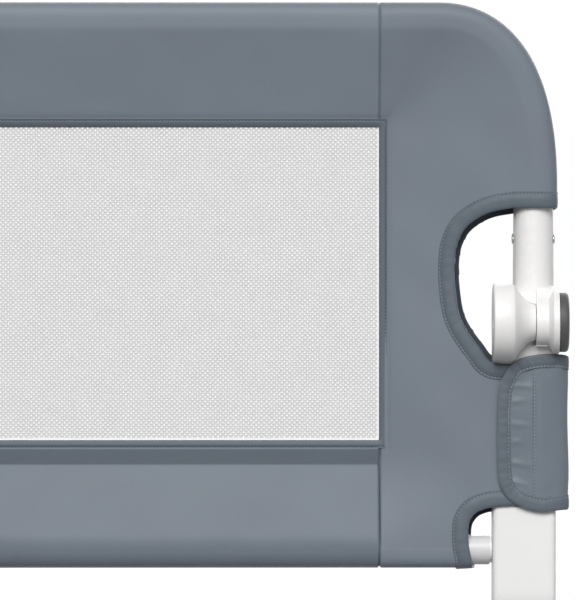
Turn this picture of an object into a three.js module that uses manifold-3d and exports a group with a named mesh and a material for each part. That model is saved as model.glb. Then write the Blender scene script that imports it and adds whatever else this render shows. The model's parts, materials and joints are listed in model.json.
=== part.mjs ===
// Folding bed guard rail: a fabric-covered tube frame, hinged on two L-shaped legs.
// Millimetres, +Z up. The room side faces -Y, the mattress lies on the +Y side.
// Pieces are built at the right end (+X) and mirrored for the left end.

import * as THREE from 'three';
import { LoftGeometry } from 'three/addons/geometries/LoftGeometry.js';
import { mergeVertices } from 'three/addons/utils/BufferGeometryUtils.js';
import Module from 'manifold-3d';

const wasm = await Module();
wasm.setup();

// Overall sizes
const railLength = 1020;
const coverHeight = 420;
const coverGround = 70;
const legReach = 430;

// Clearances and cutting allowance
const fit = 0.3;
const turnGap = 0.4;
const overrun = 2;

// Facets
const roundSides = 24;
const smallSides = 10;
const tubeSides = 16;
const bendSteps = 6;
const cornerSteps = 2;
const outlineSteps = 3;

// Cover cloth
const skin = 0.8;
const coverEdgeRadius = 17.7;
const barSleeveRadius = 13.4;
const hemHalf = 1.5;
const hemWidth = 5;
const hemBulge = 1.1;
const creaseHalf = 1.6;
const creaseBelowHem = 10.4;
const windowCorner = 4;
const windowSideMargin = 132.2;
const windowTopMargin = 92.2;
const windowBottomMargin = 94.6;
const wrapSteps = 12;
const tabEndInset = 4.7;

// Corner of the cover outline, as a cubic curve
const cornerReach = 69.8;
const cornerDrop = 117.3;
const cornerTopPullShare = 0.72;
const cornerSidePullShare = 0.56;
const cornerStations = 7;

// Bound cut-out beside the hinge: depth, height, and its outline as shares of both
const gripDepth = 76.9;
const gripHeight = 116.4;
const gripRise = 85.2;
const gripBackInset = 4;
const gripShares = [
  [0.43, 0], [0.63, 0.024], [0.783, 0.07], [0.906, 0.141], [0.977, 0.243], [1, 0.367],
  [0.993, 0.498], [0.954, 0.671], [0.877, 0.785], [0.751, 0.9], [0.64, 0.985], [0.43, 1],
];

// Bound cut-out at the lower corner
const notchDepth = 66.4;
const notchHeight = 46.2;
const notchBackInset = 3;
const notchShares = [
  [0.488, 0], [0.73, 0.024], [0.894, 0.094], [0.971, 0.205], [1, 0.339], [1, 0.621],
  [0.971, 0.839], [0.96, 1],
];

// Net in the window
const netThickness = 0.8;
const netPitch = 30;
const netHoleShare = 0.7;
const netMargin = 8;

// Steel tube of the upper frame
const tubeRadius = 12.5;
const tubeWall = 1.2;
const tubeJointInset = 210;
const tubeTaper = 3;
const tubeInsert = 35;

// Spring snap buttons in the tube joints
const snapInset = 20;
const snapRadius = 3.5;
const snapProud = 2.5;
const snapFlangeRadius = 4.5;
const snapFlangeHeight = 1;
const snapFlangeLift = 1.5;
const leafWidth = 7;
const leafThickness = 0.7;
const leafLength = 34;

// Post and leg, one flat steel tube
const postInset = 1.1;
const postWidth = 47.5;
const postDepth = 22;
const postCorner = 5;
const postWall = 1.2;
const postTopShare = 0.44;
const legBend = 40;

// Hinge axis
const hingeHeightShare = 0.434;
const hingeOffset = 17;

// Hinge housing on the post
const housingOverhang = 0.7;
const housingDepth = 22.4;
const housingCorner = 4;
const plugLift = 20;
const drumWidth = 31.6;
const drumRadius = 29;
const drumShares = [
  [0, 0.94], [0.03, 1], [0.4, 1], [0.49, 0.965], [0.57, 0.85], [0.67, 0.7], [0.78, 0.58],
  [0.875, 0.505], [1, 0.455],
];
const gearBoreRadius = 11.3;
const gearBoreDepth = 17;

// Hinge socket that carries the side tube
const sleeveTopRadius = 14.7;
const sleeveFootRadius = 15.4;
const sleeveTopInset = 10;
const sleeveFootRise = 9.7;
const tubeSeatRise = 32.7;
const cheekRadius = 17.3;
const cheekWidth = 9;
const cupRadius = 23.2;
const cupFlare = 3.6;
const cupWall = 0.8;
const cupOverhang = 0.8;
const cupDepth = 3.6;
const flangeWidth = 3;
const gearRecessDepth = 5.4;
const nutRecessRadius = 12;
const socketBackCorner = 7.6;

// Lock button and gear
const buttonRadius = 22;
const buttonHeight = 7.3;
const buttonTravel = 3.3;
const buttonProfileShares = [[1, 0.6], [0.97, 0.83], [0.88, 0.96], [0.7, 1]];
const pegRadius = 1.5;
const pegCircle = 8.6;
const pegCount = 3;
const gearTeeth = 12;
const gearTip = 10.6;
const gearRoot = 9;
const gearLength = 6.4;
const gearGrip = 2.8;
const toothShare = 0.4;
const toothSlotShare = 0.54;
const lockSpringRadius = 8;
const lockSpringWire = 0.6;
const lockSpringTurns = 6;
const springSteps = 8;
const springSides = 5;

// Pivot bolt and nut
const pivotRadius = 4;
const pivotHeadRadius = 5.3;
const pivotHeadHeight = 3.9;
const pivotHeadSunk = 0.7;
const nutRadius = 6.5;
const nutHeight = 4.4;

// Rivet through the socket
const rivetRise = 62.1;
const rivetRadius = 2.4;
const rivetHeadRadius = 4.1;
const rivetHeadHeight = 0.9;

// Lower bar and its ends
const barRadius = 11;
const barWall = 1.2;
const barNeck = 1.7;
const spigotDepth = 26;
const barBoltRadius = 2.5;
const barBoltHeadRadius = 4.6;
const barBoltHeadHeight = 3.6;
const barBoltLength = 24;
const barAccessRadius = 6;

// Screw through the post's back into the housing
const postScrewRadius = 2;
const postScrewHeadRadius = 3.9;
const postScrewHeadHeight = 0.4;
const postScrewLength = 14;

// Wrap flap and its fastener strips
const flapOverhang = 8;
const flapWidth = 53;
const flapDrop = 23.9;
const flapHeight = 116.5;
const flapBend = 9;
const stripThickness = 0.6;
const stripWidth = 28;
const stripHeight = 76;
const stripCorner = 3;
const stripInset = 7;
const flapShares = [
  [0.385, 0], [0.622, 0.019], [0.79, 0.057], [0.902, 0.134], [0.979, 0.229], [1, 0.395],
  [1, 0.611], [0.979, 0.79], [0.888, 0.892], [0.72, 0.955], [0.524, 0.987], [0.329, 1],
  [0.133, 0.987], [0.021, 0.943], [0, 0.87], [0, 0.134], [0.035, 0.064], [0.08, 0.015],
  [0.189, 0],
];

// Rear connectors, rear bar and pads
const connectorLength = 32;
const connectorRim = 1.5;
const connectorCorner = 6;
const connectorPlug = 26;
const connectorSocket = 34;
const padLength = 46;
const padWidth = 36;
const padHeight = 3;
const padCorner = 6;
const padFrontShare = 0.13;
const padRearShare = 0.84;

// Levels and places worked out from the sizes above
const halfLength = railLength / 2;
const coverTop = coverGround + coverHeight;
const windowX = halfLength - windowSideMargin;
const windowTop = coverTop - windowTopMargin;
const windowBottom = coverGround + windowBottomMargin;
const sideX = halfLength - coverEdgeRadius;
const coverPathTop = coverTop - coverEdgeRadius;
const cornerFoot = coverPathTop - cornerDrop;
const topTubeZ = coverTop - skin - fit - tubeRadius;
const tubeJointX = halfLength - tubeJointInset;
const snapX = tubeJointX - snapInset;
const hingeHeight = coverGround + hingeHeightShare * coverHeight;
const barHeight = coverGround + barSleeveRadius;
const sleeveTop = cornerFoot - sleeveTopInset;
const sleeveFoot = hingeHeight + sleeveFootRise;
const tubeSeat = hingeHeight + tubeSeatRise;
const rivetHeight = hingeHeight + rivetRise;
const stemTop = hingeHeight - cheekRadius - fit;
const postTop = barHeight + postTopShare * (stemTop - barHeight);
const plugFoot = barHeight + barBoltHeadRadius + plugLift;
const postOuterX = halfLength - postInset;
const postInnerX = postOuterX - postWidth;
const postCentreX = (postOuterX + postInnerX) / 2;
const postBackY = postDepth / 2;
const legBottom = padHeight + fit;
const legCentreZ = legBottom + postDepth / 2;
const rearEndY = postBackY + legReach;
const postScrewZ = (postTop + plugFoot) / 2;
const legEndY = rearEndY - connectorLength;
const rearBarY = rearEndY - connectorLength / 2;
const drumX = postInnerX + fit;
const housingOuterX = halfLength + housingOverhang;
const drumEndX = drumX + drumWidth;
const socketX = drumEndX + turnGap;
const cupEdgeX = halfLength + cupOverhang;
const cupFloorX = cupEdgeX - cupDepth;
const flangeX = socketX + gearRecessDepth;
const flangeEndX = flangeX + flangeWidth;
const gearEndX = socketX + gearGrip;
const gearStartX = gearEndX - gearLength;
const gearFloorX = drumEndX - gearBoreDepth;
const buttonBackX = cupFloorX + fit + buttonTravel;
const tabHalf = housingDepth / 2 + fit + skin + fit;
const tabEndX = halfLength - tabEndInset;
const flapOuterX = halfLength + flapOverhang;
const flapTop = hingeHeight - flapDrop;
const flapFront = tabHalf + fit + stripThickness + fit + stripThickness + fit + skin;
const yCentre = (rearEndY - hingeOffset - drumRadius) / 2;

// Materials
const cloth = new THREE.MeshStandardMaterial({ color: 0x76808a, roughness: 0.62, metalness: 0 });
const netCloth = new THREE.MeshStandardMaterial({ color: 0xe4e5e6, roughness: 0.8, metalness: 0 });
const stripCloth = new THREE.MeshStandardMaterial({ color: 0x5a626b, roughness: 0.95, metalness: 0 });
const whiteSteel = new THREE.MeshStandardMaterial({ color: 0xeceded, roughness: 0.35, metalness: 0.1 });
const whitePlastic = new THREE.MeshStandardMaterial({ color: 0xf0f0f0, roughness: 0.45, metalness: 0 });
const darkPlastic = new THREE.MeshStandardMaterial({ color: 0x4c4d4e, roughness: 0.55, metalness: 0 });
const zincSteel = new THREE.MeshStandardMaterial({ color: 0xb4b6b8, roughness: 0.35, metalness: 0.9 });
const padRubber = new THREE.MeshStandardMaterial({ color: 0x2c2c2d, roughness: 0.9, metalness: 0 });

// Mesh tools

// Keeps position only, merges shared points, drops empty triangles and turns the faces outwards.
function closed(geometry) {
  const bare = new THREE.BufferGeometry();
  bare.setAttribute('position', geometry.getAttribute('position').clone());
  bare.setIndex(geometry.index ? geometry.index.clone() : null);
  const welded = mergeVertices(bare);
  const points = welded.getAttribute('position');
  const corners = welded.index.array;
  const kept = [];
  let volume = 0;
  const [a, b, c] = [new THREE.Vector3(), new THREE.Vector3(), new THREE.Vector3()];
  for (let i = 0; i < corners.length; i += 3) {
    const [p, q, r] = [corners[i], corners[i + 1], corners[i + 2]];
    if (p === q || q === r || r === p) continue;
    kept.push(p, q, r);
    a.fromBufferAttribute(points, p);
    b.fromBufferAttribute(points, q);
    c.fromBufferAttribute(points, r);
    volume += a.dot(b.cross(c));
  }
  welded.setIndex(volume < 0 ? kept.reverse() : kept);
  return welded;
}

function toSolid(geometry) {
  const mesh = closed(geometry);
  return new wasm.Manifold(new wasm.Mesh({
    numProp: 3,
    vertProperties: new Float32Array(mesh.getAttribute('position').array),
    triVerts: new Uint32Array(mesh.index.array),
  }));
}

function toGeometry(solid) {
  const mesh = solid.getMesh();
  const geometry = new THREE.BufferGeometry();
  geometry.setAttribute('position', new THREE.BufferAttribute(mesh.vertProperties, 3));
  geometry.setIndex(new THREE.BufferAttribute(mesh.triVerts, 1));
  return geometry;
}

function join(first, ...others) {
  return toGeometry(others.reduce((solid, other) => solid.add(toSolid(other)), toSolid(first)));
}

function cut(first, ...tools) {
  return toGeometry(tools.reduce((solid, tool) => solid.subtract(toSolid(tool)), toSolid(first)));
}

function common(first, second) {
  return toGeometry(toSolid(first).intersect(toSolid(second)));
}

// Basic shapes

const xAxis = new THREE.Vector3(1, 0, 0);
const yAxis = new THREE.Vector3(0, 1, 0);
const zAxis = new THREE.Vector3(0, 0, 1);

function extrude(shape, depth, curveSegments = cornerSteps) {
  return new THREE.ExtrudeGeometry(shape, { depth, bevelEnabled: false, curveSegments });
}

// An outline in Y and Z, swept along X.
function extrudeX(shape, from, to) {
  const turn = new THREE.Matrix4().makeBasis(yAxis, zAxis, xAxis);
  return extrude(shape, to - from).applyMatrix4(turn).translate(from, 0, 0);
}

// An outline in X and Z, swept along Y.
function extrudeY(shape, from, to, steps) {
  const turn = new THREE.Matrix4().makeBasis(xAxis, zAxis, yAxis.clone().negate());
  return extrude(shape, to - from, steps).applyMatrix4(turn).translate(0, to, 0);
}

// An outline in X and Y, swept along Z.
function extrudeZ(shape, from, to) {
  return extrude(shape, to - from).translate(0, 0, from);
}

function rectangle(left, low, right, high) {
  const corners = [[left, low], [right, low], [right, high], [left, high]];
  return new THREE.Shape(corners.map(([a, b]) => new THREE.Vector2(a, b)));
}

function roundedRectangle(left, low, right, high, radius) {
  const shape = new THREE.Shape();
  shape.absarc(right - radius, high - radius, radius, 0, Math.PI / 2);
  shape.absarc(left + radius, high - radius, radius, Math.PI / 2, Math.PI);
  shape.absarc(left + radius, low + radius, radius, Math.PI, Math.PI * 1.5);
  shape.absarc(right - radius, low + radius, radius, Math.PI * 1.5, Math.PI * 2);
  shape.closePath();
  return shape;
}

function rodX(radius, from, to, y, z, sides = smallSides) {
  const rod = new THREE.CylinderGeometry(radius, radius, to - from, sides).rotateZ(-Math.PI / 2);
  return rod.translate((from + to) / 2, y, z);
}

function rodY(radius, from, to, x, z, sides = smallSides) {
  return new THREE.CylinderGeometry(radius, radius, to - from, sides).translate(x, (from + to) / 2, z);
}

function rodZ(radius, from, to, x, y, sides = smallSides) {
  const rod = new THREE.CylinderGeometry(radius, radius, to - from, sides).rotateX(Math.PI / 2);
  return rod.translate(x, y, (from + to) / 2);
}

// A profile of [x, radius] pairs, turned round an axis along X.
function revolveX(profile, y, z, sides = roundSides) {
  const points = profile.map(([x, radius]) => new THREE.Vector2(radius, x));
  return new THREE.LatheGeometry(points, sides).rotateZ(-Math.PI / 2).translate(0, y, z);
}

function revolveHinge(profile, sides = roundSides) {
  return revolveX(profile, -hingeOffset, hingeHeight, sides);
}

function centre(points) {
  return points.reduce((sum, point) => sum.add(point), new THREE.Vector3()).divideScalar(points.length);
}

// A capped loft, with each section ordered so that the walls face outwards as the caps do.
function loft(sections) {
  const middle = centre(sections[0]);
  const turn = sections[0].reduce((sum, point, i, ring) => {
    const next = ring[(i + 1) % ring.length].clone().sub(middle);
    return sum.add(point.clone().sub(middle).cross(next));
  }, new THREE.Vector3());
  const ahead = centre(sections[1]).sub(middle);
  const ordered = turn.dot(ahead) < 0 ? sections.map((section) => [...section].reverse()) : sections;
  return new LoftGeometry(ordered, { capStart: true, capEnd: true });
}

// A ring of [across, out] pairs carried along stations of { at, across, out }.
function sweep(stations, ringAt) {
  return loft(stations.map((station, index) => ringAt(index).map(([a, b]) => station.at.clone()
    .addScaledVector(station.across, a)
    .addScaledVector(station.out, b))));
}

function circleRing(radius, sides = tubeSides) {
  return Array.from({ length: sides }, (_, i) => {
    const angle = (i / sides) * Math.PI * 2;
    return [radius * Math.cos(angle), radius * Math.sin(angle)];
  });
}

function boxRing(width, depth, radius) {
  const shape = roundedRectangle(-width / 2, -depth / 2, width / 2, depth / 2, radius);
  return shape.getPoints(cornerSteps).slice(0, -1).map((point) => [point.x, point.y]);
}

// Closed outline from shares of a width and a height, measured in from x and down from z.
function shareOutline(shares, x, z, width, height) {
  return shares.map(([a, b]) => new THREE.Vector2(x - a * width, z - b * height));
}

// Posts and legs

// Places along the post, the bend and the leg; both ends can be lengthened.
function legStations(extra) {
  const stations = [];
  const place = (y, z, angle) => stations.push({
    at: new THREE.Vector3(postCentreX, y, z),
    across: xAxis,
    out: new THREE.Vector3(0, Math.cos(angle), Math.sin(angle)),
  });
  place(0, postTop + extra, 0);
  for (let i = 0; i <= bendSteps; i += 1) {
    const angle = (i / bendSteps) * Math.PI / 2;
    place(legBend - legBend * Math.cos(angle), legCentreZ + legBend - legBend * Math.sin(angle), angle);
  }
  place(legEndY + extra, legCentreZ, Math.PI / 2);
  return stations;
}

function leg() {
  const outer = boxRing(postWidth, postDepth, postCorner);
  const inner = boxRing(postWidth - 2 * postWall, postDepth - 2 * postWall, postCorner - postWall);
  return cut(
    sweep(legStations(0), () => outer),
    sweep(legStations(overrun), () => inner),
    rodX(barBoltRadius + fit, postInnerX - overrun, postInnerX + postWall + overrun, 0, barHeight),
    rodX(barAccessRadius, postOuterX - postWall - overrun, postOuterX + overrun, 0, barHeight),
    rodY(postScrewRadius + fit, postBackY - postWall - overrun, postBackY + overrun, postCentreX, postScrewZ),
  );
}

function postScrew() {
  const headStart = postBackY + fit / 2;
  const headEnd = headStart + postScrewHeadHeight;
  return join(
    rodY(postScrewHeadRadius, headStart, headEnd, postCentreX, postScrewZ),
    rodY(postScrewRadius, headStart - postScrewLength, headEnd, postCentreX, postScrewZ),
  );
}

// Rear frame

function rearConnector() {
  const left = postInnerX - connectorRim;
  const right = postOuterX + connectorRim;
  const low = legBottom - connectorRim;
  const high = legBottom + postDepth + connectorRim;
  const block = extrudeY(roundedRectangle(left, low, right, high, connectorCorner), legEndY + fit, rearEndY);
  const room = postWall + fit;
  const plug = extrudeY(
    roundedRectangle(
      postInnerX + room, legBottom + room, postOuterX - room, legBottom + postDepth - room, postCorner - room,
    ),
    legEndY - connectorPlug,
    legEndY + overrun,
  );
  const socketEnd = left + connectorSocket;
  const socket = rodX(barRadius + fit, left - overrun, socketEnd, rearBarY, legCentreZ, roundSides);
  return cut(join(block, plug), socket);
}

function rearBar() {
  const end = postInnerX - connectorRim + connectorSocket - fit;
  return cut(
    rodX(barRadius, -end, end, rearBarY, legCentreZ, roundSides),
    rodX(barRadius - barWall, -end - overrun, end + overrun, rearBarY, legCentreZ, roundSides),
  );
}

function pad(share) {
  const y = postBackY + share * legReach;
  const outline = roundedRectangle(
    postCentreX - padWidth / 2, y - padLength / 2, postCentreX + padWidth / 2, y + padLength / 2, padCorner,
  );
  return extrudeZ(outline, 0, padHeight);
}

// Lower bar

function lowerBar() {
  const end = postInnerX - barNeck;
  return cut(
    rodX(barRadius, -end, end, 0, barHeight, roundSides),
    rodX(barRadius - barWall, -end - overrun, end + overrun, 0, barHeight, roundSides),
  );
}

function barSpigot() {
  const start = postInnerX - barNeck - spigotDepth;
  return cut(
    rodX(barRadius - barWall - fit, start, postInnerX - fit, 0, barHeight, roundSides),
    rodX(barBoltRadius + fit, start - overrun, postInnerX + overrun, 0, barHeight),
  );
}

function barBolt() {
  const headStart = postInnerX + postWall + fit;
  const headEnd = headStart + barBoltHeadHeight;
  return join(
    rodX(barBoltHeadRadius, headStart, headEnd, 0, barHeight),
    rodX(barBoltRadius, headStart - barBoltLength, headEnd, 0, barHeight),
  );
}

// Hinge

// The drum's outline, grown by a gap and run on to an end.
function drumProfile(gap, end) {
  const rim = drumShares.map(([x, r]) => [drumX + x * drumWidth, r * drumRadius + gap]);
  const last = drumShares.at(-1)[1] * drumRadius + gap;
  return gap > 0 ? [[drumX, 0], ...rim, [end, last], [end, 0]] : [[drumX, 0], ...rim, [end, 0]];
}

// Space that the cheek and cup of the socket turn in.
function cheekProfile(gap) {
  return [
    [socketX - gap, 0],
    [socketX - gap, cheekRadius + gap],
    [socketX + cheekWidth - gap, cheekRadius + gap],
    [socketX + cheekWidth + cupFlare - gap, cupRadius + gap],
    [cupEdgeX + gap, cupRadius + gap],
    [cupEdgeX + gap, 0],
  ];
}

function hingeHousing() {
  const halfDepth = housingDepth / 2;
  const stemShape = roundedRectangle(drumX, -halfDepth, housingOuterX, halfDepth, housingCorner);
  const stem = extrudeZ(stemShape, postTop + fit, stemTop);
  const shoulderShape = roundedRectangle(drumX, -halfDepth, drumEndX, halfDepth, housingCorner);
  const shoulder = extrudeZ(shoulderShape, stemTop - overrun, hingeHeight);
  const room = postWall + fit;
  const plugShape = roundedRectangle(
    postInnerX + room, room - postBackY, postOuterX - room, postBackY - room, postCorner - room,
  );
  const plug = extrudeZ(plugShape, plugFoot, postTop + fit + overrun);
  const screwEnd = postBackY - postScrewLength;
  const screwHole = rodY(postScrewRadius + fit, screwEnd, postBackY + overrun, postCentreX, postScrewZ);
  const headSeat = drumX + pivotHeadSunk + pivotHeadHeight + fit;
  const clearStem = cut(stem, revolveHinge(cheekProfile(turnGap)));
  return cut(
    join(clearStem, shoulder, revolveHinge(drumProfile(0, drumEndX)), plug),
    rodX(gearBoreRadius, gearFloorX, drumEndX + overrun, -hingeOffset, hingeHeight, roundSides),
    rodX(pivotRadius + fit, drumX - overrun, drumEndX, -hingeOffset, hingeHeight),
    rodX(pivotHeadRadius + fit, drumX - overrun, headSeat, -hingeOffset, hingeHeight),
    screwHole,
  );
}

function gearShape(tip, root, share) {
  const points = [];
  const step = (Math.PI * 2) / gearTeeth;
  for (let i = 0; i < gearTeeth; i += 1) {
    const middle = i * step;
    const half = (share * step) / 2;
    for (const [radius, side] of [[root, -half], [tip, -half], [tip, half], [root, half]]) {
      const angle = middle + side;
      points.push(new THREE.Vector2(
        radius * Math.cos(angle) - hingeOffset,
        radius * Math.sin(angle) + hingeHeight,
      ));
    }
  }
  return new THREE.Shape(points);
}

function pegs(radius, from, to) {
  return Array.from({ length: pegCount }, (_, i) => {
    const angle = (i / pegCount) * Math.PI * 2 + Math.PI / 2;
    const y = pegCircle * Math.cos(angle) - hingeOffset;
    const z = pegCircle * Math.sin(angle) + hingeHeight;
    return rodX(radius, from, to, y, z, smallSides / 2);
  });
}

// Side view of the web between the sleeve and the cheek.
function socketWebShape() {
  const foot = hingeHeight - cheekRadius;
  const back = sleeveFootRadius;
  const shape = new THREE.Shape();
  shape.moveTo(-hingeOffset, foot);
  shape.lineTo(back - socketBackCorner, foot);
  shape.absarc(back - socketBackCorner, foot + socketBackCorner, socketBackCorner, -Math.PI / 2, 0);
  shape.lineTo(back, tubeSeat);
  shape.lineTo(-back, tubeSeat - socketBackCorner);
  shape.absarc(-hingeOffset, hingeHeight, cheekRadius, Math.PI * 3 / 5, Math.PI * 3 / 2);
  shape.closePath();
  return shape;
}

function sleeveRadiusAt(z) {
  const share = (z - sleeveFoot) / (sleeveTop - sleeveFoot);
  return sleeveFootRadius + share * (sleeveTopRadius - sleeveFootRadius);
}

function hingeSocket() {
  const height = sleeveTop - sleeveFoot;
  const sleeve = new THREE.CylinderGeometry(sleeveTopRadius, sleeveFootRadius, height, roundSides)
    .rotateX(Math.PI / 2)
    .translate(sideX, 0, sleeveFoot + height / 2);
  const web = extrudeX(socketWebShape(), socketX, sideX + sleeveFootRadius - fit);
  const gearSlots = gearShape(gearTip + fit, gearRoot + fit, toothSlotShare);
  const rivetReach = sleeveFootRadius + overrun;
  return cut(
    join(sleeve, web, revolveHinge(cheekProfile(0))),
    revolveHinge(drumProfile(turnGap, socketX)),
    extrudeX(gearSlots, socketX - overrun, socketX + gearGrip + fit),
    rodX(gearBoreRadius, socketX + gearGrip + fit / 2, flangeX, -hingeOffset, hingeHeight, roundSides),
    rodX(pivotRadius + fit, socketX, cupEdgeX, -hingeOffset, hingeHeight),
    ...pegs(pegRadius + fit, flangeX - overrun, flangeEndX + overrun),
    rodX(nutRecessRadius, flangeEndX, cupEdgeX, -hingeOffset, hingeHeight, roundSides),
    rodX(cupRadius - cupWall, cupFloorX, cupEdgeX + overrun, -hingeOffset, hingeHeight, roundSides),
    rodZ(tubeRadius + fit, tubeSeat - fit, sleeveTop + overrun, sideX, 0, roundSides),
    rodX(rivetRadius + fit, sideX - rivetReach, sideX + rivetReach, 0, rivetHeight),
  );
}

function lockButton() {
  const rim = buttonProfileShares.map(([r, x]) => [buttonBackX + x * buttonHeight, r * buttonRadius]);
  const cap = [[buttonBackX, 0], [buttonBackX, buttonRadius], ...rim, [buttonBackX + buttonHeight, 0]];
  return join(revolveHinge(cap), ...pegs(pegRadius, gearEndX + fit, buttonBackX + overrun));
}

function lockGear() {
  return cut(
    extrudeX(gearShape(gearTip, gearRoot, toothShare), gearStartX, gearEndX),
    rodX(pivotRadius + fit, gearStartX - overrun, gearEndX + overrun, -hingeOffset, hingeHeight),
  );
}

// A helix of round wire between the bore's floor and the gear.
function lockSpring() {
  const start = gearFloorX + fit + lockSpringWire;
  const length = gearStartX - fit - lockSpringWire - start;
  const steps = lockSpringTurns * springSteps;
  const stations = Array.from({ length: steps + 1 }, (_, i) => {
    const angle = (i / steps) * lockSpringTurns * Math.PI * 2;
    const out = new THREE.Vector3(0, Math.cos(angle), Math.sin(angle));
    const at = new THREE.Vector3(start + (i / steps) * length, -hingeOffset, hingeHeight);
    return { at: at.addScaledVector(out, lockSpringRadius), across: xAxis, out };
  });
  return sweep(stations, () => circleRing(lockSpringWire, springSides));
}

function pivotBolt() {
  const headStart = drumX + pivotHeadSunk;
  return revolveHinge([
    [headStart, 0],
    [headStart, pivotHeadRadius],
    [headStart + pivotHeadHeight, pivotHeadRadius],
    [headStart + pivotHeadHeight, pivotRadius],
    [cupFloorX - fit, pivotRadius],
    [cupFloorX - fit, 0],
  ], smallSides);
}

function pivotNut() {
  const start = flangeEndX + fit;
  return cut(
    rodX(nutRadius, start, start + nutHeight, -hingeOffset, hingeHeight, 6),
    rodX(pivotRadius + fit, start - overrun, start + nutHeight + overrun, -hingeOffset, hingeHeight),
  );
}

function socketRivet() {
  const reach = sleeveRadiusAt(rivetHeight) + fit;
  const head = reach + rivetHeadHeight;
  return revolveX([
    [sideX - head, 0],
    [sideX - head, rivetHeadRadius / 2],
    [sideX - reach, rivetHeadRadius],
    [sideX - reach, rivetRadius],
    [sideX + reach, rivetRadius],
    [sideX + reach, rivetHeadRadius],
    [sideX + head, rivetHeadRadius / 2],
    [sideX + head, 0],
  ], 0, rivetHeight, smallSides);
}

// Upper frame

function cornerCurve(x, top) {
  const start = new THREE.Vector3(x, 0, cornerFoot);
  const end = new THREE.Vector3(sideX - cornerReach, 0, top);
  return new THREE.CubicBezierCurve3(
    start,
    new THREE.Vector3(x, 0, cornerFoot + cornerSidePullShare * (top - cornerFoot)),
    new THREE.Vector3(x - (1 - cornerTopPullShare) * (x - end.x), 0, top),
    end,
  );
}

// Stations along the frame's outline, from the side up round the corner and inwards.
function frameStations(top, sideLevels, topPlaces) {
  const place = (at, tangent) => ({ at, across: yAxis, out: new THREE.Vector3(tangent.z, 0, -tangent.x) });
  const curve = cornerCurve(sideX, top);
  const bend = Array.from({ length: cornerStations + 1 }, (_, i) => {
    const t = i / cornerStations;
    return place(curve.getPoint(t), curve.getTangent(t));
  });
  const inwards = new THREE.Vector3(-1, 0, 0);
  return [
    ...sideLevels.map((z) => place(new THREE.Vector3(sideX, 0, z), zAxis)),
    ...bend,
    ...topPlaces.map((x) => place(new THREE.Vector3(x, 0, top), inwards)),
  ];
}

function cornerTube() {
  const thin = tubeRadius - tubeWall - fit;
  const shoulder = [tubeJointX, tubeJointX - tubeTaper];
  const tip = tubeJointX - tubeTaper - tubeInsert;
  const build = (inset, extra) => {
    const stations = frameStations(topTubeZ, [tubeSeat - extra], [...shoulder, tip - extra]);
    return sweep(stations, (i) => circleRing((i < stations.length - 2 ? tubeRadius : thin) - inset));
  };
  return cut(
    build(0, 0),
    build(tubeWall, overrun),
    rodX(rivetRadius + fit, sideX - tubeRadius - overrun, sideX + tubeRadius + overrun, 0, rivetHeight),
    rodZ(snapRadius + fit, topTubeZ - tubeRadius - overrun, topTubeZ, snapX, 0),
  );
}

function topTube() {
  const end = tubeJointX - tubeTaper - fit;
  const hole = (x) => rodZ(snapRadius + fit, topTubeZ - tubeRadius - overrun, topTubeZ, x, 0);
  return cut(
    rodX(tubeRadius, -end, end, 0, topTubeZ, roundSides),
    rodX(tubeRadius - tubeWall, -end - overrun, end + overrun, 0, topTubeZ, roundSides),
    hole(snapX),
    hole(-snapX),
  );
}

const snapFlangeZ = topTubeZ - (tubeRadius - 2 * tubeWall - fit) + snapFlangeLift;

function snapButton() {
  const tip = topTubeZ - tubeRadius - snapProud;
  return join(
    rodZ(snapRadius, tip, snapFlangeZ + snapFlangeHeight, snapX, 0),
    rodZ(snapFlangeRadius, snapFlangeZ, snapFlangeZ + snapFlangeHeight, snapX, 0),
  );
}

// A folded leaf: one arm on the button's flange, the other against the tube's upper wall.
function snapSpring() {
  const low = snapFlangeZ + snapFlangeHeight + fit + leafThickness / 2;
  const high = 2 * topTubeZ - snapFlangeZ - leafThickness / 2;
  const middle = (low + high) / 2;
  const bendRadius = (high - low) / 4;
  const endX = snapX + leafLength;
  const route = [
    [snapX - snapFlangeRadius, low],
    [snapX + snapFlangeRadius, low],
    [endX - bendRadius, middle - bendRadius],
    [endX, middle],
    [endX - bendRadius, middle + bendRadius],
    [snapX, high],
  ].map(([x, z]) => new THREE.Vector3(x, 0, z));
  const stations = route.map((at, i) => {
    const before = route[Math.max(i - 1, 0)];
    const after = route[Math.min(i + 1, route.length - 1)];
    const tangent = after.clone().sub(before).normalize();
    return { at, across: yAxis, out: new THREE.Vector3(tangent.z, 0, -tangent.x) };
  });
  const [w, t] = [leafWidth / 2, leafThickness / 2];
  return sweep(stations, () => [[-w, -t], [w, -t], [w, t], [-w, t]]);
}

// Cover

// Nearest place on the window's outline, grown by a margin, to a point of the frame.
function windowEdge(point, margin) {
  const inner = new THREE.Vector3(windowX - windowCorner, 0, windowTop - windowCorner);
  const radius = windowCorner + margin;
  if (point.x <= inner.x) return new THREE.Vector3(point.x, 0, inner.z + radius);
  if (point.z <= inner.z) return new THREE.Vector3(inner.x + radius, 0, point.z);
  const away = point.clone().sub(inner).setLength(radius);
  return inner.add(away);
}

// Right half of the upper cover's stations; the left half is its mirror image.
function coverStations(extra) {
  const split = hingeHeight + fit;
  return frameStations(coverPathTop, [split - extra], [windowX, 0]);
}

// A section wraps the tube and closes at the window's hem.
function coverSection(station, radius, half, margin) {
  const hem = windowEdge(station.at, margin);
  const wrap = Array.from({ length: wrapSteps + 1 }, (_, i) => {
    const angle = (i / wrapSteps) * Math.PI;
    return station.at.clone()
      .addScaledVector(yAxis, -radius * Math.cos(angle))
      .addScaledVector(station.out, radius * Math.sin(angle));
  });
  return [
    hem.clone().addScaledVector(yAxis, -half),
    ...wrap,
    hem.clone().addScaledVector(yAxis, half),
  ];
}

function mirroredSection(section) {
  return section.map((point) => new THREE.Vector3(-point.x, point.y, point.z));
}

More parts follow.
